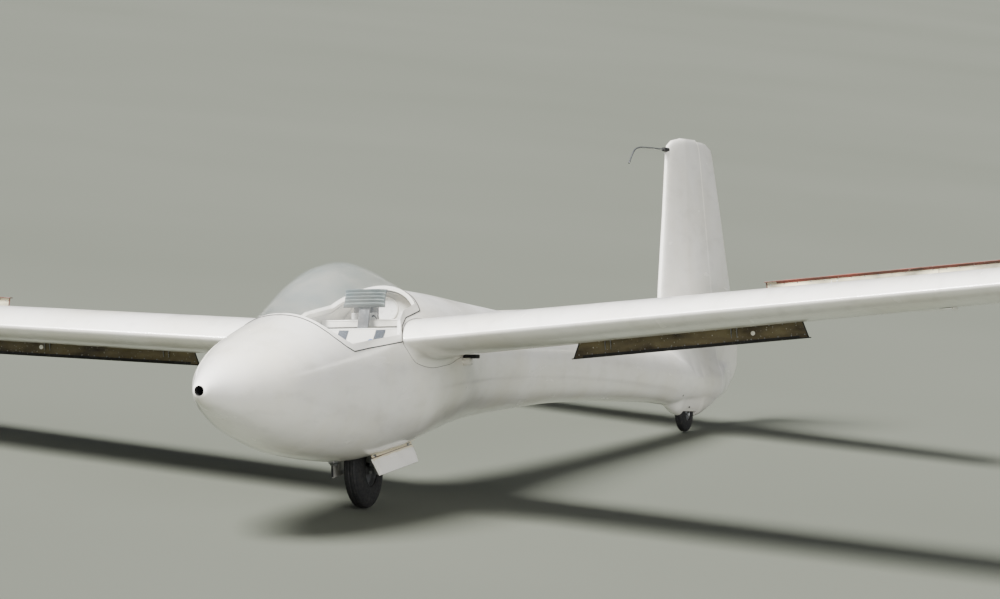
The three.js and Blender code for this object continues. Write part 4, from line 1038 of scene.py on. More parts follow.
@dataclass
class FuselageShell:
    """Pod and boom as one glass moulding, with cockpit, canopy opening, wheel bay and nose inlet."""

    wall: float = 20.0
    end: float = 5800.0
    cavity: tuple[float, float] = (170.0, 2440.0)
    opening: tuple[float, float] = (864.0, 2400.0)
    inlet: float = 20.8
    inlet_deep: float = 130.0
    inlet_z: float = -3.0
    bay: tuple[float, float] = (1690.0, 2242.0)
    bay_half: float = 81.0
    bay_roof: float = -122.0
    keel_rows: int = 8
    line: CanopyLine = CanopyLine()

    @property
    def outer_bay(self) -> tuple[float, float]:
        """The bay with its walls."""
        return self.bay[0] - self.wall, self.bay[1] + self.wall

    def places(self) -> Array:
        """Sections along Y: close at the nose and round the opening, wide along the boom."""
        rim = rim_places(FUSELAGE, self.line, self.opening, 14.0)
        general = np.concatenate([
            50 * np.linspace(0, 1, 14) ** 1.6, np.linspace(56, 300, 18), np.linspace(315, 2640, 110),
            np.linspace(2680, self.end, 66),
        ])
        general = general[~close_to(general, rim, 6)]
        return thinned(merged(general, rim, gap=0.04), self.bay + self.outer_bay + self.cavity, 3.0)

    def side(self, y: Array, half: float, grow: float) -> Array:
        """Grid of section angles: a keel band out to a half width, then up to the opening.

        Args:
            y: places along the airframe.
            half: the keel band's half width, narrowed where the body is slender.
            grow: how far the skin is moved out.

        Returns:
            Rows by columns of angles.
        """
        own = FUSELAGE.sizes(y)[0] + grow
        at = FUSELAGE.angle_at_width(y, np.minimum(half, 0.55 * own), grow)
        edge = FUSELAGE.angle_at_height(y, np.minimum(self.line.height(y), 1e4), grow)
        edge = np.where(self.line.height(y) >= FUSELAGE.sizes(y)[1] + grow, np.pi / 2, edge)
        keel = np.linspace(0, 1, self.keel_rows + 1)[:-1, None]
        rest = np.linspace(0, 1, 46)[:, None]
        return np.vstack([-np.pi / 2 + (at + np.pi / 2) * keel, at + (edge - at) * rest])

    def wall_with_bay(self, skin: Skin, grid: Array, y: Array, bay: tuple[float, float],
                      roof: float, mark: int) -> None:
        """A skin with a hole in its keel band, and the walls and roof that rise from it.

        Args:
            skin: where the faces go.
            grid: the skin's points, keel rows first.
            y: its places.
            bay: front and rear edge of the hole.
            roof: height of the roof.
            mark: the material's number.
        """
        keep = np.ones((grid.shape[0] - 1, grid.shape[1] - 1), bool)
        keep[:self.keel_rows, (y[:-1] >= bay[0] - 0.01) & (y[1:] <= bay[1] + 0.01)] = False
        skin.grid(grid, keep, mark)
        i0, i1 = np.searchsorted(y, np.array(bay) - 0.01)
        low = grid[:self.keel_rows + 1, i0:i1 + 1]
        high = low.copy()
        high[..., 2] = roof
        steps = np.linspace(0, 1, 7)[:, None, None]
        for foot, top in ((low[-1], high[-1]), (low[:, 0], high[:, 0]), (low[:, -1], high[:, -1])):
            skin.grid(foot[None] + (top - foot)[None] * steps, mark=1)
        skin.grid(high, mark=1)

    def skin(self) -> Skin:
        """Both halves of the moulding: outer skin, inner skin, rims, bay and inlet."""
        y = self.places()
        outer_angle = self.side(y, self.bay_half, 0.0)
        outer = FUSELAGE.point(y[None, :], outer_angle)
        skin = Skin()
        self.wall_with_bay(skin, outer, y, self.bay, self.bay_roof, 0)
        within = (y >= self.cavity[0] - 0.01) & (y <= self.cavity[1] + 0.01)
        yi = y[within]
        inner_angle = self.side(yi, self.bay_half + self.wall, -self.wall)
        inner = FUSELAGE.point(yi[None, :], inner_angle, -self.wall)
        self.wall_with_bay(skin, inner, yi, self.outer_bay, self.bay_roof + self.wall, 1)
        for ends in (inner[:, 0], inner[:, -1]):
            centre = ends * CENTRE
            skin.grid(np.stack([ends, (ends + centre) / 2, centre], axis=1), mark=1)
        rim_out, rim_in = outer[-1, within], inner[-1]
        lip = np.stack([rim_out, rim_out * 0.75 + rim_in * 0.25, rim_in])
        open_here = outer_angle[-1, within] < np.pi / 2 - 1e-6
        skin.grid(lip, np.broadcast_to(open_here[:-1] | open_here[1:], (2, len(yi) - 1)))
        # Painted shade: the inlet's bore and closed end are black rubber from the lip inward, standing for
        # the shade inside the hole.
        skin.grid(self.inlet_tube(outer[:, 0], outer_angle[:, 0]), mark=2)
        tail = outer[:, -1]
        skin.grid(np.stack([tail, tail * CENTRE], axis=1))
        return skin.mirrored()

    def inlet_tube(self, rim: Array, angle: Array) -> Array:
        """Grid from the nose's rim to a round tube and its closed end, at section angles."""
        ring = np.stack([self.inlet * np.cos(angle), 0 * angle, self.inlet_z + self.inlet * np.sin(angle)],
                        axis=-1)
        steps = [rim]
        for deep, share in ((1.5, 1.0), (self.inlet_deep, 1.0), (self.inlet_deep, 0.0)):
            step = ring * np.array([share, 1, 1]) + np.array([0, deep, 0])
            step[:, 2] = self.inlet_z + (ring[:, 2] - self.inlet_z) * share
            steps.append(step)
        return np.stack(steps, axis=1)

    def make(self, stance: Stance, looks: Finishes) -> None:
        """Builds the moulding."""
        make_pieces(stance, [("fuselage_moulding", self.skin(), [looks.gelcoat, looks.lining, looks.rubber],
                              "gelcoat", ["fuselage_pod", "tail_boom"])])


# Wings


@dataclass(frozen=True)
class WingForm:
    """The wing's surface over span and chord.

    At a fraction s of the chord the section's half depth is the usual four-digit polynomial
    in q = s^1.211, added to a camber line of two parabolas. Behind the first third the lower
    face is hollowed by a sine-squared wave. The section is turned nose-up by the incidence
    and raised by the dihedral along the span.
    """

    nose_y: float = 1642.0
    nose_z: float = 208.0
    dihedral: float = math.radians(3.99)
    incidence: float = math.radians(3.31)
    camber: float = 0.03
    camber_at: float = 0.45
    hollow: float = 0.0185
    hollow_from: float = 0.3
    stations: Triples = (
        (200, 903, 0.197), (1400, 866, 0.19), (3100, 813, 0.184), (4800, 760, 0.178),
        (6800, 564, 0.17), (8400, 406, 0.162), (8780, 352, 0.16), (8870, 250, 0.13),
    )

    def chord(self, x: Array) -> Array:
        """Chord at a distance from the centre line."""
        rows = np.array(self.stations)
        return np.interp(x, rows[:, 0], rows[:, 1])

    def scoop(self, x: Array, s: Array) -> Array:
        """Half of the lower face's hollow in millimetres."""
        wave = np.sin(np.pi * np.clip((s - self.hollow_from) / (1 - self.hollow_from), 0, 1)) ** 2
        return self.chord(x) * self.hollow * wave / 2

    def depth(self, x: Array, s: Array) -> Array:
        """Half depth of the section in millimetres."""
        rows = np.array(self.stations)
        thick = np.interp(x, rows[:, 0], rows[:, 2])
        return self.chord(x) * thick / 0.2 * section_depth(s) - self.scoop(x, s)

    def line(self, x: Array, s: Array) -> Array:
        """Height of the camber line in millimetres."""
        p = self.camber_at
        front = self.camber / p**2 * (2 * p * s - s * s)
        rear = self.camber / (1 - p) ** 2 * (1 - 2 * p + 2 * p * s - s * s)
        return self.chord(x) * np.where(s < p, front, rear) + self.scoop(x, s)

    def point(self, x: Array, s: Array, face: Any) -> Array:
        """Point on the upper (1), lower (-1) or middle (0) surface."""
        x, s, face = np.broadcast_arrays(x, s, face)
        up = self.line(x, s) + face * (self.depth(x, s) + 0.7 * s)
        back = s * self.chord(x)
        y = self.nose_y + back * math.cos(self.incidence) + up * math.sin(self.incidence)
        z = (self.nose_z + x * math.tan(self.dihedral) - back * math.sin(self.incidence)
             + up * math.cos(self.incidence))
        return np.stack([x, y, z], axis=-1)

    def share_at(self, x: Array, y: Any, face: float) -> Array:
        """The chord fraction at which a surface reaches y, by repeated correction."""
        s = (y - self.nose_y) / self.chord(x)
        for _ in range(8):
            up = self.line(x, s) + face * self.depth(x, s)
            back = y - self.nose_y - up * math.sin(self.incidence)
            s = back / (self.chord(x) * math.cos(self.incidence))
        return s


@dataclass(frozen=True)
class BrakeBox:
    """One airbrake's place in the wing: span, line and the face it rises from."""

    name: str
    start: float
    stop: float
    y: float
    face: int
    travel: float
    slant: float
    feet: tuple[float, float]
    gap: float = 5.5
    wide: float = 44.0
    spare: float = 20.0

    @property
    def deep(self) -> float:
        """Depth of the box."""
        return self.travel + self.spare


BRAKES = (
    BrakeBox("lower", 897, 2005, 2163, -1, 78, 34, (148, 738)),
    BrakeBox("upper", 1815, 3060, 2117, 1, 61, 10, (300, 1080)),
)


@dataclass
class WingPair:
    """Both wings with their airbrake boxes, and the ailerons in their coves."""

    form: WingForm = WingForm()
    line: CanopyLine = CanopyLine()
    tip: float = 8870.0
    aileron_from: float = 5000.0
    aileron_to: float = 8480.0
    hinge: float = 0.8
    gap: float = 2.6
    root_end: float = 500.0
    under: float = 7.0
    nose_rows: int = 18

    def hinge_line(self, x: Array) -> tuple[Array, Array, Array]:
        """Hinge y, z and the half depth there, straight between the aileron's ends."""
        ends = np.array([self.aileron_from, self.aileron_to])
        middle = self.form.point(ends, self.hinge, 0)
        depth = self.form.depth(ends, np.full(2, self.hinge))
        share = (np.clip(x, *ends) - ends[0]) / (ends[1] - ends[0])
        return tuple(v[0] + (v[1] - v[0]) * share for v in (middle[:, 1], middle[:, 2], depth))

    def spans(self) -> Array:
        """Places along the span outboard of the root."""
        anchors = [v for b in BRAKES for v in (b.start - b.gap, b.stop + b.gap)]
        anchors += [self.aileron_from, self.aileron_to, self.root_end, self.tip]
        anchors += [row[0] for row in self.form.stations if row[0] > self.root_end]
        return thinned(np.linspace(self.root_end, self.tip, 84), sorted(set(anchors)), 20.0)

    def shares(self, x: Array, face: int) -> tuple[Array, dict[str, int]]:
        """Chord fractions from the leading to the trailing edge at each x, with fixed rows
        along the airbrake box and the aileron cove.

        Args:
            x: places along the span.
            face: 1 for the upper surface, -1 for the lower.

        Returns:
            Rows by columns of fractions, and the numbers of the fixed rows.
        """
        brake = next(b for b in BRAKES if b.face == face)
        held = np.clip(x, 850, 3200)
        front = self.form.share_at(held, brake.y - brake.wide / 2, face)
        back = self.form.share_at(held, brake.y + brake.wide / 2, face)
        hy, _, r = self.hinge_line(x)
        inboard = np.clip(x, self.aileron_from, self.aileron_to)
        cove_y = hy - np.sqrt((r + self.gap) ** 2 - r**2)
        cove = self.form.share_at(inboard, cove_y, face)
        nose = np.linspace(0, 1, self.nose_rows)[:-1, None] ** 2 * front
        slot = front + (back - front) * np.linspace(0, 1, 4)[:-1, None]
        middle = back + (cove - back) * np.linspace(0, 1, 9)[:-1, None]
        rear = cove + (1 - cove) * np.linspace(0, 1, 7)[:, None]
        rows = np.vstack([nose, slot, middle, rear])
        n = self.nose_rows - 1
        return rows, {"front": n, "back": n + 3, "cove": n + 11}

    def flare(self, s: Array, face: int) -> Array:
        """Radius of the fillet where the wing's skin meets the fuselage."""
        rear = smooth((s - 0.62) / 0.3)
        upper = 3 + 26 * smooth((s - 0.6) / 0.2) - 20 * rear
        lower = 12 + 33 * smooth(s / 0.15) - 36 * rear
        return upper if face > 0 else lower

    def root(self, s: Array, face: int, count: int) -> Array:
        """Surface from the fuselage's skin out to root_end, with a fillet at its foot.

        Over a distance d from the skin the surface is moved out along the section's normal
        by R - sqrt(R^2 - (R - d)^2), and the foot is set on the fuselage by repeated
        correction.

        Args:
            s: chord fractions, one column.
            face: 1 for the upper surface, -1 for the lower.
            count: how many columns.

        Returns:
            Rows by columns of points.
        """
        radius = self.flare(s, face)
        foot = np.full_like(s, 305.0)
        tilt = self.normal(s, face)
        for _ in range(14):
            place = self.form.point(foot, s, face) + tilt * radius[:, None]
            y, z = place[:, 1], place[:, 2]
            lift = 6.5 * smooth((z - self.line.height(y) + 12) / 10)
            wide = FUSELAGE.width(y, z) + lift
            foot = 0.5 * foot + 0.5 * np.where(wide > 60, wide, 60)
        far = self.root_end - float(foot.mean())
        near = np.array([0, 1.5, 4, 8, 13, 20, 28, 38.0])
        steps = np.concatenate([near, np.linspace(50, far, count - len(near))])
        x = foot[:, None] + steps[None, :] * ((self.root_end - foot) / far)[:, None]
        d = x - foot[:, None]
        big = radius[:, None]
        rise = np.where(d < big, big - np.sqrt(np.maximum(big**2 - (big - d) ** 2, 0)), 0.0)
        return self.form.point(x, s[:, None], face) + tilt[:, None, :] * rise[..., None]

    def normal(self, s: Array, face: int) -> Array:
        """Outward normal of the root section in the Y-Z plane."""
        step = 0.004
        a = self.form.point(400.0, np.maximum(s - step, 0), face)
        b = self.form.point(400.0, s + step, face)
        along = b - a
        along /= np.linalg.norm(along, axis=1)[:, None]
        return np.stack([0 * s, -face * along[:, 2], face * along[:, 1]], axis=-1)

    def half(self, side: int) -> Skin:
        """One wing's skin: both faces with their airbrake pockets, both end ribs, the
        trailing edge and the aileron's cove."""
        x = self.spans()
        skin = Skin()
        grids, rears = {}, {}
        for face in (1, -1):
            shares, row = self.shares(x, face)
            outer = self.form.point(x[None, :], shares, face)
            inner = self.root(shares[:, 0], face, 20)
            grid = np.concatenate([inner[:, :-1], outer], axis=1)
            n = inner.shape[1] - 1
            keep = np.ones((grid.shape[0] - 1, grid.shape[1] - 1), bool)
            brake = next(b for b in BRAKES if b.face == face)
            box = np.array([brake.start - brake.gap, brake.stop + brake.gap])
            i0, i1 = n + np.searchsorted(x, box - 0.01)
            keep[row["front"]:row["back"], i0:i1] = False
            a0, a1 = n + np.searchsorted(x, [self.aileron_from - 0.01, self.aileron_to - 0.01])
            keep[row["cove"]:, a0:a1] = False
            skin.grid(grid, keep)
            self.pocket(skin, grid[row["front"]:row["back"] + 1, i0:i1 + 1], brake)
            grids[face] = grid
            rears[face] = grid[row["cove"]:, a0:a1 + 1]
        for end in (0, -1):
            skin.grid(np.stack([grids[1][:, end], grids[-1][:, end]], axis=1))
        edge = np.ones((1, grids[1].shape[1] - 1), bool)
        edge[:, a0:a1] = False
        skin.grid(np.stack([grids[1][-1], grids[-1][-1]]), edge)
        self.cove(skin, rears, x[(x >= self.aileron_from - 0.01) & (x <= self.aileron_to + 0.01)])
        return skin.flipped(side)

    def pocket(self, skin: Skin, mouth: Array, brake: BrakeBox) -> None:
        """Walls and floor of an airbrake box, sunk straight down from its mouth."""
        floor = mouth.copy()
        floor[..., 2] -= brake.face * (brake.deep + self.under)
        skin.strips(edge_pairs(mouth, floor), 1).grid(floor, mark=1)

    def cove(self, skin: Skin, rears: dict[int, Array], x: Array) -> None:
        """The hollow in front of the aileron: an arc about the hinge between both skins."""
        hy, hz, _ = self.hinge_line(x)
        top, low = rears[1][0], rears[-1][0]
        turn_top = np.arctan2(top[:, 2] - hz, top[:, 1] - hy)
        turn_low = np.arctan2(low[:, 2] - hz, low[:, 1] - hy) % (2 * np.pi)
        share = np.linspace(0, 1, 9)[:, None]
        turn = turn_top + (turn_low - turn_top) * share
        far_top = np.hypot(top[:, 2] - hz, top[:, 1] - hy)
        far_low = np.hypot(low[:, 2] - hz, low[:, 1] - hy)
        far = far_top + (far_low - far_top) * share
        arc = np.stack(np.broadcast_arrays(x, hy + far * np.cos(turn), hz + far * np.sin(turn)), axis=-1)
        arc[0], arc[-1] = top, low
        skin.grid(arc, mark=1)
        for end in (0, -1):
            skin.cap(np.concatenate([arc[:, end], rears[-1][1:, end], rears[1][1:, end][::-1]]), mark=1)

    def aileron(self, side: int) -> Skin:
        """One aileron: both skins behind the hinge and a round nose about it."""
        x = np.linspace(self.aileron_from + 5.5, self.aileron_to - 5.5, 26)
        hy, _, _ = self.hinge_line(x)
        spread = np.linspace(1, 0, 9)[:, None]
        ends = {}
        for face in (1, -1):
            start = self.form.share_at(x, hy, face)
            ends[face] = self.form.point(x[None, :], start + (1 - start) * spread, face)
        top, low = ends[1][-1], ends[-1][-1]
        up = (top - low) / 2
        ahead = np.stack([0 * x, -up[:, 2], up[:, 1]], axis=-1)
        turn = np.linspace(0, np.pi, 11)[1:-1, None, None]
        arc = (top + low) / 2 + up * np.cos(turn) + ahead * np.sin(turn)
        return tube(np.concatenate([ends[1], arc, ends[-1][::-1]])).flipped(side)

    def make(self, stance: Stance, looks: Finishes) -> None:
        """Builds both wings and both ailerons."""
        for hand, side in HANDS:
            make_pieces(stance, [(f"wing_skin_{hand}", self.half(side), [looks.gelcoat, looks.lining],
                                  "gelcoat", [f"wing_{hand}"])])
            node = f"aileron_{hand}"
            make_pieces(stance, [(f"aileron_skin_{hand}", self.aileron(side), [looks.gelcoat],
                                  "gelcoat", [node])], node)


# Tail


@dataclass(frozen=True)
class FinForm:
    """The fin's and rudder's blade: at each height a section of rounded nose and thin tail.

    Table columns: height, leading edge y, trailing edge y, half depth. The half depth at a
    fraction s rises as 2.9 sqrt(s) - 2.1 s to its full value and falls as (1 - s)^0.75.
    """

    table: Rows = (
        (-26, 6300, 6790, 14), (9, 6200, 6916, 34), (57, 6110, 7047, 44), (104, 6040, 7142, 49),
        (163, 5985, 7201, 51), (258, 5940, 7214, 50), (550, 5984, 7107, 45), (909, 6058, 6973, 38),
        (1229, 6114, 6841, 31), (1262, 6130, 6818, 27), (1289, 6193, 6733, 20), (1306, 6330, 6560, 9),
    )
    hinge_y: float = 6577.0
    hinge_z: float = 1292.0
    slope: float = 0.2

    def edges(self, z: Array) -> tuple[Array, Array, Array]:
        """Leading edge, trailing edge and half depth at a height."""
        rows = np.array(self.table)
        return tuple(np.interp(z, rows[:, 0], rows[:, k]) for k in (1, 2, 3))

    def hinge(self, z: Array) -> Array:
        """The hinge line's y at a height."""
        return self.hinge_y + (self.hinge_z - z) * self.slope

    def depth(self, y: Array, z: Array) -> Array:
        """Half depth of the blade at a point of its side view."""
        nose, tail, half = self.edges(z)
        s = np.clip((y - nose) / (tail - nose), 0, 1)
        grow = np.minimum(1, 2.9 * np.sqrt(s) - 2.1 * s)
        fall = np.where(s > 0.3, (np.maximum(1 - s, 0) / 0.7) ** 0.75, 1.0)
        return half * grow * fall + 1.2 * s


@dataclass
class TailUnit:
    """Tail cone, wheel fairing and fin as one moulding, with the rudder behind it."""

    fin: FinForm = FinForm()
    start: float = 5800.0
    slot_half: float = 31.0
    slot_from: float = 6236.0
    slot_to: float = 6450.0
    slot_roof: float = 27.0
    fillet_top: float = 285.0
    gap: float = 3.0
    fairing: Rows = (
        (6040, 14, 20, -47, -10), (6100, 32, 30, -62, -20), (6165, 46, 30, -84, -20),
        (6236, 54, 30, -99, -30), (6450, 54, 30, -102, -30), (6546, 46, 30, -91, -20),
        (6656, 36, 30, -64, -15), (6780, 22, 30, -32, -10),
    )
    base_z: float = 190.0
    crown_rows: tuple[float, ...] = (1246, 1262, 1276, 1289)

    def lean(self, place: Array) -> Array:
        """How much of the hinge line's slope a section takes: none ahead of the fin's middle."""
        return smooth((place - 6460) / 340)

    def slanted(self, place: Array, z: Array) -> Array:
        """The y of a section at a height, leaning with the hinge line towards the rear."""
        return place - (z - self.base_z) * self.fin.slope * self.lean(place)

    def cone_point(self, place: Array, angle: Array) -> Array:
        """Point of the tail cone on a leaning section, by repeated correction."""
        place, angle = np.broadcast_arrays(place, angle)
        point = TAIL_CONE.point(place, angle)
        for _ in range(4):
            point = TAIL_CONE.point(self.slanted(place, point[..., 2]), angle)
        return point

    def bulge(self, point: Array) -> Array:
        """Lower cone points moved out to the wheel fairing.

        Seen from the section's widest line, the distance to the skin is the larger of the
        cone's and the fairing ellipse's along the same ray, with the corner rounded.

        Args:
            point: points on the cone.

        Returns:
            Moved points.
        """
        rows = np.array(self.fairing)
        y = point[..., 1]
        half, _, bottom, middle = (eased(rows[:, 0], rows[:, k], y) for k in (1, 2, 3, 4))
        inside = smooth((y - rows[0, 0] + 30) / 60) * smooth((rows[-1, 0] + 40 - y) / 90)
        eye = TAIL_CONE.sizes(y)[3]
        dx, dz = point[..., 0], point[..., 2] - eye
        far = np.hypot(dx, dz)
        ux, uz = dx / np.maximum(far, 1e-6), dz / np.maximum(far, 1e-6)
        a, b, c0 = half, middle - bottom, eye - middle
        qa = (ux / a) ** 2 + (uz / b) ** 2
        qb = 2 * c0 * uz / b**2
        qc = (c0 / b) ** 2 - 1
        disc = qb * qb - 4 * qa * qc
        root = np.where(disc > 0, (-qb + np.sqrt(np.maximum(disc, 0))) / (2 * qa), 0.0)
        fair = np.maximum(root, 0) * inside
        grown = round_max(far, fair, 16.0) - (round_max(far, np.zeros_like(far), 16.0) - far)
        moved = point.copy()
        moved[..., 0] = ux * grown
        moved[..., 2] = eye + uz * grown
        return moved

    def foot_line(self, s: Array) -> tuple[Array, Array, Array]:
        """The fin's base: wall top, corner and outer foot of the fillet at chord fractions.

        Args:
            s: fractions from the leading edge to the hinge.

        Returns:
            Wall points at the fillet's top, corner points on the cone, and foot points.
        """
        z = np.full_like(s, self.fillet_top)
        nose = self.fin.edges(z)[0]
        y = nose + s * (self.fin.hinge(z) - self.hinge_gap(z) - nose)
        wall = np.stack([self.fin.depth(y, z) * (s > 0), y, z], axis=-1)
        base = np.full_like(s, 215.0)
        for _ in range(6):
            nose = self.fin.edges(base)[0]
            yb = nose + s * (self.fin.hinge(base) - self.hinge_gap(base) - nose)
            xb = self.fin.depth(yb, base) * (s > 0)
            base = self.cone_height(xb, yb)
        corner = np.stack([xb, yb, base], axis=-1)
        run = np.gradient(corner[:, :2], axis=0)
        run /= np.linalg.norm(run, axis=1)[:, None]
        straight = smooth((s - 0.55) / 0.4)
        wide = 42 - 26 * smooth((s - 0.3) / 0.7)
        xf = xb + run[:, 1] * wide
        yf = yb - run[:, 0] * (1 - straight) * wide
        xf[0] = 0.0
        zf = self.cone_height(xf, yf)
        yf = np.where(s > 0.55, yf - (zf - base) * self.fin.slope * straight, yf)
        return wall, corner, np.stack([xf, yf, self.cone_height(xf, yf)], axis=-1)

    def cone_height(self, x: Array, y: Array) -> Array:
        """Height of the cone's upper skin at a half width."""
        half, top, _, middle = TAIL_CONE.sizes(y)
        share = np.clip(x / half, 0, 0.999)
        return middle + (top - middle) * (1 - share ** TAIL_CONE.power) ** (1 / TAIL_CONE.power)

    def hinge_gap(self, z: Array) -> Array:
        """How far ahead of the hinge line the fin's skin ends."""
        width = self.fin.depth(self.fin.hinge(z), z)
        return np.sqrt((width + self.gap) ** 2 - width**2)

    def stations(self) -> tuple[Array, Array]:
        """Sections along the fin's foot, close together at its nose, with anchors at the
        wheel slot, and the chord fractions that belong to them."""
        dense = np.linspace(0, 1, 600)
        foot = self.foot_line(dense)[2]
        station = foot[:, 1] + (foot[:, 2] - self.base_z) * self.fin.slope * self.lean(foot[:, 1])
        station = np.maximum.accumulate(station)
        spread = np.concatenate([np.linspace(0, 1, 12)[:-1] ** 1.5 * 0.12, np.linspace(0.12, 1, 36)])
        pick = thinned(np.interp(spread, dense, station), [self.slot_from, self.slot_to], 6.0)
        pick[0], pick[-1] = station[0], station[-1]
        s = np.interp(pick, station, dense)
        s[0], s[-1] = 0.0, 1.0
        return pick, s

    def blade(self, s: Array, wall: Array) -> Array:
        """Grid of the fin's skin over chord fractions, its lowest line given."""
        rise = np.concatenate([[self.fillet_top], np.linspace(310, 1229, 34), self.crown_rows, [1298, 1305]])
        nose, tail, _ = self.fin.edges(rise)
        back = np.minimum(self.fin.hinge(rise) - self.hinge_gap(rise), tail - 3)
        y = nose + s[:, None] * (back - nose)
        z = np.broadcast_to(rise, y.shape)
        blade = np.stack([self.fin.depth(y, z) * (s[:, None] > 0), y, z], axis=-1)
        blade[:, 0] = wall
        return blade

    def skin(self) -> Skin:
        """The whole tail moulding."""
        pick, s = self.stations()
        wall, corner, foot = self.foot_line(s)
        blade = self.blade(s, wall)
        crown = blade[:, -1]
        skin = Skin().grid(blade)
        skin.grid(np.stack([crown, crown * CENTRE + np.array([0, 0, 1.0])], axis=1))
        t = np.linspace(0, 1, 8)[None, :, None]
        fillet = wall[:, None] * (1 - t) ** 2 + corner[:, None] * 2 * t * (1 - t) + foot[:, None] * t**2
        skin.grid(fillet)
        ahead = np.linspace(self.start, pick[0] - 8, 9)
        place = np.concatenate([ahead, pick])
        open_angle = np.full(len(place), np.pi / 2)
        half = TAIL_CONE.sizes(foot[:, 1])[0]
        open_angle[len(ahead):] = np.arccos(np.clip(foot[:, 0] / half, 0, 1) ** (TAIL_CONE.power / 2))
        upper = self.cone_point(place[None, :], open_angle * np.linspace(0, 1, 16)[:, None])
        upper[-1, len(ahead):] = foot
        keel = TAIL_CONE.angle_at_width(place, np.minimum(self.slot_half, 0.5 * TAIL_CONE.sizes(place)[0]))
        under = np.vstack([
            -np.pi / 2 + (keel + np.pi / 2) * np.linspace(0, 1, 6)[:-1, None],
            keel * np.linspace(1, 0, 17)[:, None],
        ])
        lower = self.bulge(self.cone_point(place[None, :], under))
        self.square_slot(lower, place)
        lower[-1] = upper[0]
        keep = np.ones((lower.shape[0] - 1, lower.shape[1] - 1), bool)
        keep[:5, (place[:-1] >= self.slot_from - 0.01) & (place[1:] <= self.slot_to + 0.01)] = False
        skin.grid(lower, keep).grid(upper)
        i0, i1 = np.searchsorted(place, [self.slot_from - 0.01, self.slot_to - 0.01])
        mouth = lower[:6, i0:i1 + 1]
        roof = mouth.copy()
        roof[..., 2] = self.slot_roof
        edges = ((mouth[-1], roof[-1]), (mouth[:, 0], roof[:, 0]), (mouth[:, -1], roof[:, -1]))
        skin.strips([(edge, (edge + top) / 2, top) for edge, top in edges], 1)
        skin.grid(roof, mark=1)
        ring = np.concatenate([lower[:, 0], upper[1:, 0]])
        skin.grid(np.stack([ring, ring * CENTRE], axis=1))
        self.channel(skin, np.concatenate([lower[:, -1], upper[1:, -1], fillet[-1, ::-1][1:], blade[-1, 1:]]))
        return skin.mirrored()

    def square_slot(self, lower: Array, place: Array) -> None:
        """Draws the keel rows straight beside the wheel slot: their edge stays at its half width."""
        near = smooth((place - self.slot_from + 60) / 50) * smooth((self.slot_to + 60 - place) / 50)
        edge = lower[5, :, 0]
        scale = 1 + (self.slot_half / np.maximum(edge, 1) - 1) * near
        rows = np.ones(lower.shape[0])
        rows[6:12] = np.linspace(1, 0, 7)[1:]
        rows[12:] = 0
        lower[..., 0] *= 1 + (scale[None, :] - 1) * rows[:, None]

    def channel(self, skin: Skin, edge: Array) -> None:
        """The hollow ahead of the rudder: from the skin's rear edge in to the middle, curving forward."""
        z = edge[:, 2]
        width = np.abs(edge[:, 0])
        hinge = self.fin.hinge(z)
        reach = np.hypot(width, hinge - edge[:, 1])[:, None]
        turn = np.arctan2(width, np.maximum(hinge - edge[:, 1], 0.1))
        angle = turn[:, None] * np.linspace(1, 0, 7)[None, :]
        arc = np.stack(np.broadcast_arrays(
            reach * np.sin(angle), hinge[:, None] - reach * np.cos(angle), z[:, None]), axis=-1)
        arc[:, 0] = edge
        skin.grid(arc, mark=1)

    def rudder(self) -> Skin:
        """The rudder: blade and cone behind the hinge line with a round nose about it."""
        z = np.concatenate([np.linspace(-8, 240, 22), np.linspace(258, 1229, 30), self.crown_rows, [1296]])
        hinge = self.fin.hinge(z)
        s = np.linspace(0, 1, 26)[:, None] ** 0.9
        y = hinge + s * (self.fin.edges(z)[1] - hinge)
        blade = self.fin.depth(y, z[None, :])
        cone = TAIL_CONE.width(np.minimum(y, 6930), z[None, :]) * (1 - smooth((y - 6850) / 240))
        cone = np.where(z[None, :] > 200, 0, cone)
        x = np.where(cone > 1, round_max(blade, cone, 14.0) - 2.0, blade)
        x = x * smooth((z + 30) / 40)[None, :] ** 0.5
        x[-1] = np.minimum(x[-1], 1.4)
        turn = np.linspace(np.pi / 2, 0, 8)[:, None]
        side, nose = (
            np.stack(np.broadcast_arrays(across, back, z), axis=-1)
            for across, back in ((x, y), (x[0] * np.sin(turn), hinge - x[0] * np.cos(turn)))
        )
        rows = np.concatenate([nose[::-1], side[1:]])
        skin = Skin().grid(rows)
        skin.grid(np.stack([rows[-1], rows[-1] * CENTRE]))
        for end in (0, -1):
            skin.grid(np.stack([rows[:, end], rows[:, end] * CENTRE], axis=1))
        return skin.mirrored()

    def make(self, stance: Stance, looks: Finishes) -> None:
        """Builds the tail moulding and the rudder."""
        white = looks.gelcoat
        make_pieces(stance, [("tail_moulding", self.skin(), [white, looks.lining], "gelcoat", ["fin"])])
        make_pieces(stance, [("rudder_skin", self.rudder(), [white], "gelcoat", ["rudder"])], "rudder")


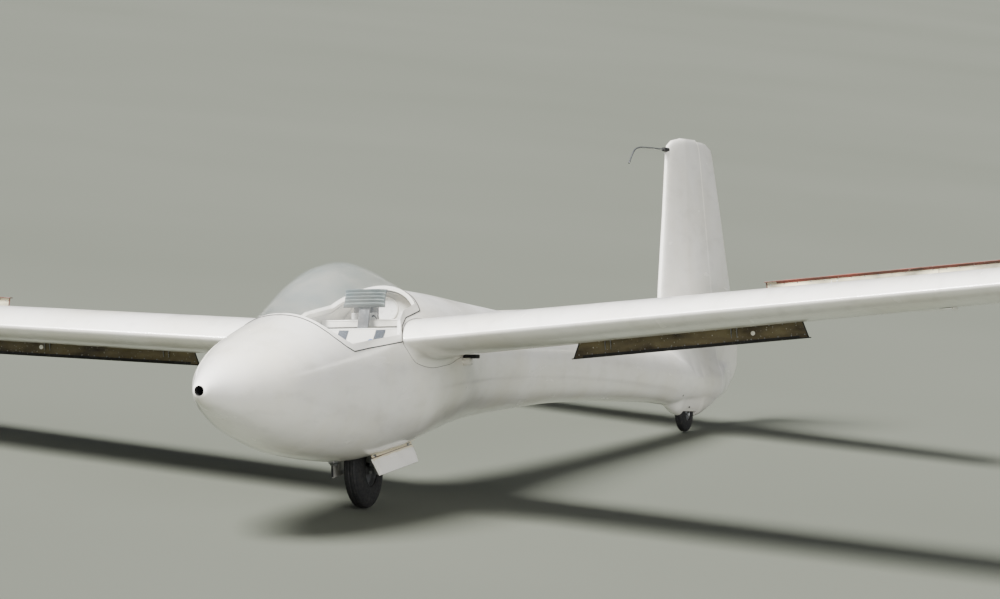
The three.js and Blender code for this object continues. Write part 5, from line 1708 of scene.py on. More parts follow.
@dataclass
class Tailplane:
    """Fixed tailplane halves and the elevator that turns on a tube through the fin."""

    z: float = 424.0
    hinge_y: float = 6385.0
    tip: float = 1416.0
    nose: float = 5965.0
    tip_nose: float = 6110.0
    chord: float = 600.0
    tip_chord: float = 370.0
    thick: float = 0.11
    gap: float = 2.6
    inboard: float = 72.0
    tube: float = 12.0
    fin: FinForm = FinForm()
    wing: WingForm = WingForm()

    def plan(self, x: Array) -> tuple[Array, Array, Array]:
        """Leading edge, chord and thickness ratio at a distance from the centre; the tip rounds off."""
        k = x / self.tip
        chord = self.chord + (self.tip_chord - self.chord) * k
        nose = self.nose + (self.tip_nose - self.nose) * k
        end = np.clip((x - self.tip + 60) / 60, 0, 1)
        pull = 1 - np.sqrt(np.maximum(1 - end**2, 0))
        return nose + 34 * pull, chord - 64 * pull, self.thick * (1 - 0.5 * pull)

    def depth(self, x: Array, y: Array) -> Array:
        """Half depth at a point of the plan view."""
        nose, chord, thick = self.plan(x)
        s = np.clip((y - nose) / chord, 0, 1)
        return chord * thick / 0.2 * section_depth(s) + 0.8 * s

    def spans(self, inner: Array, reach: float, count: int) -> Array:
        """Places along the span: the inner ones, even steps, and a rounded end of a length."""
        end = np.sin(np.linspace(0.15, 1, count) * np.pi / 2)
        return np.concatenate([inner, np.linspace(340, 1356, 14), 1356 + reach * end])

    def half(self, side: int) -> Skin:
        """One fixed half: from the fin's skin to the tip, ahead of the elevator's cove."""
        x = self.spans(np.linspace(0, 300, 10), 60, 7)
        s = np.linspace(0, 1, 22)[:, None] ** 2
        y = self.nose + s[:, 0] * (self.hinge_y - self.nose)
        foot = self.fin.depth(y, np.full(len(y), self.z)) + 0.4
        xs = foot[:, None] + (x[None, :]) * (1 - foot[:, None] / self.tip)
        nose = self.plan(xs)[0]
        hinge_r = self.depth(xs, np.full_like(xs, self.hinge_y))
        back = self.hinge_y - np.sqrt((hinge_r + self.gap) ** 2 - hinge_r**2)
        y = nose + s * (back - nose)
        d = self.depth(xs, y)
        d[0] = 0
        swell = 10 * (1 - smooth((xs - foot[:, None]) / 26)) * smooth(s * 4)
        top = np.stack([xs, y, self.z + d + swell], axis=-1)
        low = np.stack([xs, y, self.z - d - swell], axis=-1)
        skin = Skin().grid(top).grid(low)
        for end in (0, -1):
            skin.grid(np.stack([top[:, end], low[:, end]], axis=1))
        a, b = top[-1], low[-1]
        turn = np.arctan2(a[:, 2] - self.z, a[:, 1] - self.hinge_y)
        turn = turn + (2 * np.pi - 2 * turn) * np.linspace(0, 1, 7)[:, None]
        far = np.hypot(a[:, 2] - self.z, a[:, 1] - self.hinge_y)
        arc = self.about_hinge(a[:, 0], far * np.cos(turn), far * np.sin(turn))
        arc[0], arc[-1] = a, b
        skin.grid(arc, mark=1)
        return skin.flipped(side)

    def about_hinge(self, x: Array, aft: Array, up: Array) -> Array:
        """Points a distance aft of and above the hinge line."""
        return np.stack(np.broadcast_arrays(x, self.hinge_y + aft, self.z + up), axis=-1)

    def elevator(self) -> Skin:
        """Both elevator halves with round noses, and the tube that joins them through the fin."""
        x = self.spans(np.linspace(self.inboard + 4, 300, 6), 56, 6)
        nose, chord, _ = self.plan(x)
        aft = np.linspace(0, 1, 14)[:, None] * (nose + chord - self.hinge_y)
        d = self.depth(x[None, :], self.hinge_y + aft)
        turn = np.linspace(0, np.pi, 11)[1:-1, None]
        arc = self.about_hinge(x, -d[0] * np.sin(turn), d[0] * np.cos(turn))
        rows = np.concatenate([self.about_hinge(x, aft, d)[::-1], arc, self.about_hinge(x, aft, -d)])
        angle = circle(20)[:, None]
        ends = np.array([-90.0, 90.0])[None, :]
        bar = self.about_hinge(ends, self.tube * np.cos(angle), self.tube * np.sin(angle))
        return tube(rows).mirrored().add(tube(bar, 1))

    def make(self, stance: Stance, looks: Finishes) -> None:
        """Builds the halves and the elevator."""
        for hand, side in HANDS:
            make_pieces(stance, [(f"tailplane_skin_{hand}", self.half(side), [looks.gelcoat, looks.lining],
                                  "gelcoat", [f"tailplane_{hand}"])])
        make_pieces(stance, [("elevator_skin", self.elevator(), [looks.gelcoat, looks.steel_own],
                              "gelcoat", ["elevator"])], "elevator")


# Canopy


@dataclass
class Canopy:
    """Blown acrylic hood in its white frame, hinged along the starboard sill."""

    dome: Dome = Dome()
    line: CanopyLine = CanopyLine()
    seam: float = 3.0
    band: float = 34.0
    deep: float = 18.0
    pane: float = 5.0
    span: tuple[float, float] = (862.0, 2400.0)

    def run(self, away: float, step: float) -> Array:
        """Places along Y where a line above the edge lies on the dome, in equal rim lengths."""
        return rim_places(self.dome, self.line, self.span, step, away, 0.1, 0.0)

    def angles(self, y: Array, away: float) -> Array:
        """Section angle of a line above the edge, 90 degrees where it has passed the top."""
        height = self.line.height(y, away)
        return np.where(height >= self.dome.sizes(y)[1], np.pi / 2, self.dome.angle_at_height(y, height))

    def shell(self, y: Array, low: Array, high: Array, rows: int, deep: float, mark: int = 0) -> Skin:
        """A closed shell between two lines of section angles, of a given depth."""
        angle = low + (high - low) * np.linspace(0, 1, rows)[:, None]
        outer = self.dome.point(y[None, :], angle)
        inner = self.dome.point(y[None, :], angle, deep)
        skin = Skin().grid(outer, mark=mark).grid(inner, mark=mark)
        skin.grid(np.stack([outer[0], inner[0]]), mark=mark)
        closed = (high[:-1] < np.pi / 2 - 1e-6) | (high[1:] < np.pi / 2 - 1e-6)
        skin.grid(np.stack([outer[-1], inner[-1]]), closed[None, :], mark=mark)
        return skin.mirrored()

    def make(self, stance: Stance, looks: Finishes) -> None:
        """Builds the frame and the pane."""
        edge, inside = self.run(self.seam, 12.0), self.run(self.band, 12.0)
        y = merged(edge[~close_to(edge, inside, 0.8)], inside, gap=0.03)
        band = self.shell(y, self.angles(y, self.seam), self.angles(y, self.band), 7, self.deep)
        y = self.run(self.band + 0.4, 14.0)
        pane = self.shell(y, self.angles(y, self.band + 0.4), np.full(len(y), np.pi / 2), 36, self.pane)
        make_pieces(stance, [
            ("canopy_frame_moulding", band, [looks.gelcoat], "gelcoat", ["canopy_frame"]),
            ("canopy_pane", pane, [looks.acrylic], "canopy_glass", ["canopy_glass"]),
        ], "canopy")


# Wheels


@dataclass(frozen=True)
class WheelSize:
    """One wheel: its place, tyre radius and half width, rim and axle radius."""

    name: str
    y: float
    z: float
    tyre: float
    half: float
    rim: float
    axle: float


@dataclass
class Wheels:
    """Main and tail wheel: grooved tyres on turned hubs."""

    sizes: tuple[WheelSize, ...] = (
        WheelSize("main_wheel", 1881, -342, 175, 43, 78, 12),
        WheelSize("tail_wheel", 6343, -81, 100, 25, 44, 7),
    )

    def turned(self, profile: Array, size: WheelSize, turns: int) -> Array:
        """A closed profile of (x, radius) pairs turned about the wheel's axle."""
        angle = np.linspace(0, 2 * np.pi, turns + 1)
        x = np.broadcast_to(profile[:, :1], (len(profile), turns + 1))
        r = profile[:, 1:]
        return np.stack([x, size.y + r * np.cos(angle), size.z + r * np.sin(angle)], axis=-1)

    def tyre_profile(self, size: WheelSize) -> Array:
        """Tyre outline: a rounded crown with three grooves between the beads."""
        t = np.linspace(-1, 1, 61)
        side = size.half * np.sign(t) * np.abs(t) ** 0.9
        crown = size.rim + (size.tyre - size.rim) * (1 - np.abs(t) ** 3.2) ** (1 / 2.2)
        a = np.abs(t) * size.half
        grooves = sum(np.exp(-(((a - at) / 1.6) ** 4)) for at in (0, size.half * 0.3, size.half * 0.58))
        crown = crown - np.minimum(grooves, 1) * size.tyre * 0.018
        outer = np.stack([side, crown], axis=1)
        bead = np.array([[0.86, 0.0], [0.62, 0.0], [-0.62, 0.0], [-0.86, 0.0]]) * size.half
        bead[:, 1] = size.rim + 0.35
        outer[0, 1] = outer[-1, 1] = size.rim + 6
        return np.vstack([outer, bead, outer[:1]])

    def hub_profile(self, size: WheelSize) -> Array:
        """Hub outline: boss, dished web and rim flanges."""
        h, rim, axle = size.half, size.rim, size.axle
        half = [(0.62, rim), (0.7, rim + 2), (0.72, rim - 3), (0.6, rim - 7), (0.38, rim - 12),
                (0.22, rim - 26), (0.22, axle + 26), (0.4, axle + 16), (0.78, axle + 12), (0.8, axle + 9),
                (0.8, axle + 0.35)]
        if size.rim < 50:
            half = [(0.62, rim), (0.7, rim + 1), (0.7, rim - 3), (0.5, rim - 7), (0.35, rim - 12),
                    (0.35, axle + 12), (0.8, axle + 8), (0.8, axle + 0.35)]
        right = np.array(half)
        right[:, 0] *= h
        left = right[::-1] * np.array([-1, 1])
        return np.vstack([right, left, right[:1]])

    def make(self, stance: Stance, looks: Finishes) -> None:
        """Builds both tyres and hubs."""
        for size in self.sizes:
            tyre = Skin().grid(self.turned(self.tyre_profile(size), size, 72))
            hub = Skin().grid(self.turned(self.hub_profile(size), size, 48))
            make_pieces(stance, [
                (f"{size.name}_tyre_grooved", tyre, [looks.rubber], "tyre", [f"{size.name}_tyre"]),
                (f"{size.name}_hub_turned", hub, [looks.steel_own], "metal", [f"{size.name}_hub"]),
            ], size.name)


# Airbrakes


@dataclass
class Airbrakes:
    """Four brake blades: plate, cap strip, brackets and rivets."""

    form: WingForm = WingForm()
    half: float = 2.0
    inset: float = 6.0
    root: float = 14.0
    cap: float = 16.0
    cap_thick: float = 4.0
    foot: float = 40.0
    spot: tuple[tuple[int, float], ...] = ((1, 1741.0), (-1, 1687.0))
    seam_x: float = 2612.0
    rivet_step: float = 62.0
    rivet: Pairs = ((-0.5, 3.2), (0.5, 3.0), (1.2, 1.8), (1.5, 0.0))
    disc: Pairs = ((-0.5, 10), (1.2, 10), (2.0, 8.6), (2.0, 0))

    def place(self, brake: BrakeBox, side: int, x: Any, dy: Any, d: Any) -> Array:
        """A point of a brake: along the span, off its line, and out of the wing's skin."""
        middle = (brake.start + brake.stop) / 2
        s = (brake.y - self.form.nose_y) / self.form.chord(middle)
        up = self.form.line(middle, s) + brake.face * self.form.depth(middle, s)
        base = self.form.nose_z - (brake.y - self.form.nose_y) * math.tan(self.form.incidence) + up
        x, dy, d = (np.asarray(v, float) for v in (x, dy, d))
        z = base + x * math.tan(self.form.dihedral) + brake.face * d
        return np.stack(np.broadcast_arrays(side * x, brake.y + dy, z), axis=-1)

    def blade(self, brake: BrakeBox, side: int) -> Skin:
        """One blade with everything on it; marks: face, cap, fittings, inspection disc."""
        at = partial(self.place, brake, side)
        low, high = brake.start + self.inset, brake.stop - self.inset
        foot = (low + brake.slant, high - brake.slant)
        top = brake.travel - self.cap_thick / 2
        skin = panel(np.array([at(foot[0], 0, -self.root), at(foot[1], 0, -self.root),
                               at(high, 0, top), at(low, 0, top)]), 2 * self.half, 0.6)
        x = np.linspace(brake.start, brake.stop, 24)
        skin.add(ribbon(at(x, 0, top), (0, 1, 0), 2 * self.cap, self.cap_thick, 1),
                 ribbon(at(x[1:-1], -self.half - 1.2, top - 7), (0, 0, 1), 10, 2.4, 1))
        for low_x, high_x in ((foot[0], low), (foot[1], high)):
            edge = at(np.linspace(low_x, high_x, 8), -self.half - 0.6, np.linspace(-self.root, top, 8))
            skin.add(ribbon(edge, (1, 0, 0), 6, 1.6, 1))
        for step in brake.feet:
            self.bracket(skin, at, brake, brake.start + step)
        for row in (top - 15, 6.0):
            share = (row + self.root) / (top + self.root)
            ends = [foot[k] + ((low, high)[k] - foot[k]) * share for k in (0, 1)]
            for place in np.arange(ends[0] + 18, ends[1] - 10, self.rivet_step):
                skin.add(turned_about(at(place, -self.half, row), (0, -1, 0), self.rivet, 8, 2))
        if brake.face < 0:
            spot = at(dict(self.spot)[side], -self.half, brake.travel * 0.45)
            return skin.add(turned_about(spot, (0, -1, 0), self.disc, 24, 3))
        seam = at(np.full(6, self.seam_x), -self.half - 0.3, np.linspace(0, top - 12, 6))
        return skin.add(ribbon(seam, (1, 0, 0), 2.2, 1.0, 1))

    def bracket(self, skin: Skin, at: Callable[..., Array], brake: BrakeBox, x: float) -> None:
        """A guide block in the box, and two gussets from it to the blade."""
        wide = brake.wide / 2 - 0.35
        rise = brake.travel * 0.62
        outline = rounded(np.array([at(x, -wide, -9), at(x + self.foot, -wide, -9),
                                    at(x + self.foot, wide, -9), at(x, wide, -9)]), 5)
        skin.add(panel(outline, 12, 1.2, 2))
        for off in (7, self.foot - 7):
            for way in (-1, 1):
                corners = ((2, -4), (wide - 3, -4), (6, rise), (2, rise))
                skin.add(panel(np.array([at(x + off, way * a, b) for a, b in corners]), 2.6, 0.4, 2))

    def make(self, stance: Stance, looks: Finishes) -> None:
        """Builds all four."""
        for brake in BRAKES:
            # Painted shade: the lower blades' dark olive face (looks.brake) stands for the shade under the
            # wing.
            paints = [looks.brake, looks.brake_dark, looks.steel_own, looks.gelcoat]
            if brake.face > 0:
                paints[:2] = [looks.brake_cream, looks.brake_red]
            for hand, side in HANDS:
                node = f"airbrake_{brake.name}_{hand}"
                make_pieces(stance, [(f"{node}_blade", self.blade(brake, side), paints,
                                      "brake_paint", [node], 40)], node)


# Wheel doors and undercarriage


@dataclass
class GearDoors:
    """Two moulded wheel doors on hinges, and the flanges they close against."""

    start: float = 1738.0
    stop: float = 2230.0
    x: float = 91.0
    drop: float = 5.0
    inset: float = 26.0
    width: float = 94.0
    thick: float = 8.0
    crown: float = 3.5
    hem: float = 13.0
    trim: float = 12.0
    ribs: tuple[float, ...] = (1830.0, 1984.0, 2138.0)
    bay: tuple[float, float] = (1700.0, 2236.0)
    out: tuple[tuple[str, int, float], ...] = (("left", 1, 25.0), ("right", -1, 3.0))

    def line_z(self, y: Any) -> Array:
        """Height of the hinge line."""
        ends = np.array([self.start + self.inset, self.stop - self.inset])
        z = FUSELAGE.point(ends, FUSELAGE.angle_at_width(ends, self.x))[:, 2] - self.drop
        return z[0] + (z[1] - z[0]) * (np.asarray(y, float) - ends[0]) / (ends[1] - ends[0])

    def place(self, side: int, angle: float, y: Any, along: Any, deep: Any) -> Array:
        """A point of an open door: along it from the hinge, and outward across it."""
        y, along, deep = np.broadcast_arrays(*(np.asarray(v, float) for v in (y, along, deep)))
        s, c = math.sin(angle), math.cos(angle)
        return np.stack([side * (self.x + s * along + c * deep), y,
                         self.line_z(y) - c * along + s * deep], axis=-1)

    def ends(self) -> tuple[tuple[float, int], ...]:
        """The hinges' places along the door, each with the way inward."""
        return (self.start + self.inset, 1), (self.stop - self.inset, -1)

    def door(self, side: int, angle: float) -> Skin:
        """One door: crowned shell with a folded rim, ribs, hinge knuckles and leaves."""
        u = np.linspace(0, 1, 15)[None, :]
        v = np.linspace(0, 1, 33)[:, None]
        reach = self.width - self.hem
        along = self.hem + reach * u + 0 * v
        trim = self.trim * u
        y = self.start + trim + (self.stop - self.start - 2 * trim) * v
        edge = np.minimum(np.minimum(u, 1 - u) * 81, np.minimum(v, 1 - v) * 480)
        round_off = 1.6 * (1 - smooth(edge / 5))
        crown = self.crown * 4 * u * (1 - u)
        outer = self.place(side, angle, y, along, self.thick / 2 + crown - round_off)
        hollow = 4.5 * smooth((edge - 7) / 6)
        inner = self.place(side, angle, y, along, -self.thick / 2 + crown * smooth(edge / 12) + hollow)
        skin = closed_pair(outer, inner)
        for y0 in self.ribs:
            rib = self.place(side, angle, np.full(9, y0), np.linspace(22, 86, 9), -2.5 + self.crown * 0.5)
            skin.add(ribbon(rib, (0, 1, 0), 14, 4.0, 0))
        self.strip(skin, side, angle, (self.start + 2, self.stop - 2), (self.hem, 25.0), 5.0, 2)
        # Painted shade: on the starboard door only, a black rubber bead along the front edge stands for the
        # shade on that edge.
        if side < 0:
            t = np.linspace(0.04, 0.97, 12)
            bead = self.place(side, angle, self.start + self.trim * t + 0.6, self.hem + reach * t,
                              self.crown * 1.2 * t * (1 - t))
            skin.add(pipe(bead, 4.9, 12, 3))
        for end, inward in self.ends():
            near, far = (self.place(side, angle, end + inward * step, 0, 0) for step in (9, 29))
            corners = ((9, 2), (29, 2), (29, 34), (9, 34))
            leaf = [self.place(side, angle, end + inward * a, b, 0) for a, b in corners]
            skin.add(rod(near, far, 5.4, mark=1), panel(np.array(leaf), 5, 0.6, 1))
        return skin

    def strip(self, skin: Skin, side: int, angle: float, ends: tuple[float, float],
              along: tuple[float, float], deep: float, mark: int) -> None:
        """A narrow strip beside the hinge line, its outer face at a given depth."""
        thick = 2.6
        y = np.linspace(ends[0], ends[1], 30)
        line = self.place(side, angle, y, sum(along) / 2, deep + 0.25 * np.sin(y / 23) - thick / 2)
        across = self.place(side, angle, 0, 1, 0) - self.place(side, angle, 0, 0, 0)
        skin.add(ribbon(line, across, along[1] - along[0], thick, mark))

    def hinge_cover(self, side: int, angle: float) -> Skin:
        """Fixed strip from the belly down over the hinge line, open where the door's leaves swing."""
        skin = Skin()
        near, far = self.inset + 5, self.inset + 33
        for ends in ((self.start + 2, self.start + near), (self.start + far, self.stop - far),
                     (self.stop - near, self.stop - 2)):
            self.strip(skin, side, angle, ends, (-3.0, 8.6), 4.6, 0)
            self.strip(skin, side, angle, ends, (8.2, 11.0), 4.2, 1)
        return skin

    def hinge_pins(self) -> Skin:
        """Blocks under the skin and the pins they hold, both sides."""
        skin = Skin()
        for x in (self.x, -self.x):
            for end, inward in self.ends():
                z, far = float(self.line_z(end)), end + inward * 31
                skin.add(block((x - 6, end - 6, z - 5), (x + 6, end + 6, z + 12), 1.2),
                         rod((x, end, z), (x, far, float(self.line_z(far))), 3.0, 14))
        return skin

    def flange(self, side: int) -> Skin:
        """A raised band on the belly along the bay, from the bay's edge outward."""
        start, stop = self.bay
        y = np.linspace(start, stop, 60)[None, :]
        wide = np.array([97, 98.5, 104, 112, 118, 119.5])[:, None]
        rise = np.array([-1.0, 1.6, 2.2, 2.2, 1.6, -1.0])[:, None]
        taper = smooth((y - start) / 30) * smooth((stop - y) / 30)
        angle = FUSELAGE.angle_at_width(y, wide)
        outer = FUSELAGE.point(y, angle, 0.0)
        lift = FUSELAGE.point(y, angle, 1.0) - outer
        return closed_pair(outer + lift * (rise * taper - 0.2)[..., None], outer - lift * 2.0).flipped(side)

    def make(self, stance: Stance, looks: Finishes) -> None:
        """Builds doors, pins and flanges."""
        shell = [looks.gelcoat, looks.steel_own, looks.tape, looks.rubber]
        for hand, side, out in self.out:
            angle, node = math.radians(out), f"gear_door_{hand}"
            make_pieces(stance, [(f"gear_door_moulding_{hand}", self.door(side, angle), shell,
                                  "gelcoat", [node], 38)], node)
            make_pieces(stance, [
                (f"gear_hinge_cover_{hand}", self.hinge_cover(side, angle), [looks.tape, looks.brake_red],
                 "gelcoat", []),
                (f"gear_bay_flange_{hand}", self.flange(side), [looks.tape], "gelcoat", []),
            ])
        make_pieces(stance, [("gear_door_pins", self.hinge_pins(), [looks.steel_own], "metal", [])])


@dataclass
class Undercarriage:
    """Leg, axle and brake line of the main wheel."""

    y: float = 1881.0
    z: float = -342.0
    half: float = 43.0
    roof: float = -122.0
    collar: Pairs = ((0, 22), (14, 22), (16, 19), (16, 13))
    nut: Pairs = ((0, 15), (7, 15), (9, 13), (9, 0))
    bolt: Pairs = ((-1, 5), (3, 5), (4, 4), (4, 0))
    bolts: Pairs = ((-20, 150), (20, 150), (-14, 60), (14, 60))

    def leg(self) -> Skin:
        """Fork legs, cross bridge, strut sleeves and bolts."""
        skin = Skin()
        near, far = self.half + 8, self.half + 20
        low, high = self.z, self.roof
        plate = ((-16, low - 26), (16, low - 26), (32, low + 12),
                 (55, high - 4), (-55, high - 4), (-32, low + 12))
        for side in (1, -1):
            x = side * (near + far) / 2
            skin.add(
                panel(rounded(np.array([(x, self.y + dy, z) for dy, z in plate]), 9), 12, 1.5),
                turned_about((side * near, self.y, low), (side, 0, 0), self.collar, 26),
                rod((x, self.y, high - 2), (x, self.y, low + 60), 9.0, 20),
                turned_about((side * (near + 12), self.y, low), (side, 0, 0), self.nut, 6),
            )
            for dy, dz in self.bolts:
                skin.add(turned_about((side * far, self.y + dy, low + dz), (side, 0, 0), self.bolt, 6))
        return skin.add(block((-far, self.y - 50, high - 16), (far, self.y + 50, high - 1), 2.0),
                        rod((-far, self.y, low), (far, self.y, low), 11.6, 24))

    def hose(self) -> Skin:
        """The brake line: down the port leg to the hub."""
        t = np.linspace(0, 1, 30)[:, None]
        a, b = np.array([66.0, 1925, -135]), np.array([66.0, 1896, -318])
        bulge = np.array([2.0, 16, 0]) * np.sin(np.pi * t)
        return pipe(a + (b - a) * t + bulge, 2.6, 10)

    def make(self, stance: Stance, looks: Finishes) -> None:
        """Builds the leg and its hose."""
        make_pieces(stance, [
            ("main_leg_welded", self.leg(), [looks.steel_own], "metal",
             ["main_wheel_fork", "main_wheel_axle"]),
            ("brake_line", self.hose(), [looks.rubber], "rubber", []),
        ])


# Cockpit


@dataclass(frozen=True)
class SeatLine:
    """The seat's side view and the surface that follows it.

    A place on the seat is given by the run along the line, from 0 at the knees to 1 at the
    shoulders, and the distance from the centre line.
    """

    points: Pairs = (
        (960, -120), (1090, -165), (1250, -205), (1400, -218), (1490, -196), (1560, -120), (1640, -10),
        (1730, 95), (1885, 280),
    )

    def curve(self, run: Any) -> tuple[Array, Array, Array, Array]:
        """Smooth y, z and the upward normal's y and z at a run along the line."""
        points = np.array(self.points, float)
        far = distance_along(points)
        at = np.asarray(run, float) * far[-1]
        y, z = (eased(far, row, at) for row in points.T)
        step = 2.0
        dy, dz = (eased(far, row, at + step) - eased(far, row, at - step) for row in points.T)
        long = np.maximum(np.hypot(dy, dz), 1e-6)
        return y, z, -dz / long, dy / long

    def place(self, x: Any, run: Any, lift: Any) -> Array:
        """A point above the seat's surface."""
        y, z, ny, nz = self.curve(run)
        return np.stack(np.broadcast_arrays(np.asarray(x, float), y + ny * lift, z + nz * lift), axis=-1)


@dataclass(frozen=True)
class Pad:
    """A sewn pad: crowned, with rounded rims, pulled-in sides and sewn channels.

    Its height over its base is thick * (1 - |u|^5)^0.4 * (1 - |w|^7)^0.4, with u across and
    w along from -1 to 1, less a groove at each channel; the sides pull in by a few percent
    between the corners.
    """

    half: float
    thick: float
    channels: int
    lengthwise: bool = False
    groove: float = 0.42

    def build(self, place: Any, length: float) -> Skin:
        """The pad's mesh with piping round its rim.

        Args:
            place: gives points from distance across, share along and height.
            length: the pad's length in millimetres, for its proportions.

        Returns:
            The skin; mark 1 is the piping.
        """
        u = np.sin(np.linspace(-1, 1, 49) * np.pi / 2)[:, None]
        w = np.sin(np.linspace(-1, 1, 97) * np.pi / 2)[None, :]
        crown = (1 - np.abs(u) ** 5) ** 0.4 * (1 - np.abs(w) ** 7) ** 0.4
        run = u if self.lengthwise else w
        phase = (run + 1) / 2 * self.channels
        span = 2 * self.half if self.lengthwise else length
        seam = np.abs(phase - np.round(phase)) * span / self.channels
        inner = (np.round(phase) > 0.5) & (np.round(phase) < self.channels - 0.5)
        dent = self.groove * np.exp(-((seam / 5.5) ** 2)) * inner
        wrinkle = 0.9 * np.sin(u * 9 + w * 4) * np.sin(w * 17 + 1.3 * u) * (1 - np.abs(u) ** 3)
        height = self.thick * (0.12 + 0.88 * crown * (1 - dent)) + wrinkle * crown
        pull = 1 - 0.035 * (1 - w**2) * np.abs(u) ** 3
        x = self.half * u * pull
        share = (w + 1) / 2 + 0.012 * (1 - u**2) * np.sign(w) * np.abs(w) ** 5 * -1
        top = place(x, share, height)
        low = place(x * 0.985, share, 0.6 * np.ones_like(height))
        rim, rim_low = (
            np.concatenate([face[:, 0], face[-1, 1:], face[::-1, -1][1:], face[0, ::-1][1:-1]])
            for face in (top, low)
        )
        ring = rim * 0.75 + rim_low * 0.25
        loop = np.vstack([ring[-1:], ring, ring[:1]])
        ahead = unit(loop[2:] - loop[:-2])
        b = unit(np.cross(ahead, unit(rim - rim.mean(axis=0))))
        a = np.cross(b, ahead)
        t = circle(8)[:, None, None]
        tubes = ring[None] + 2.3 * (a[None] * np.cos(t) + b[None] * np.sin(t))
        tubes = np.concatenate([tubes, tubes[:, :1]], axis=1)
        return closed_pair(top, low).add(Skin().grid(tubes, mark=1, around=True))


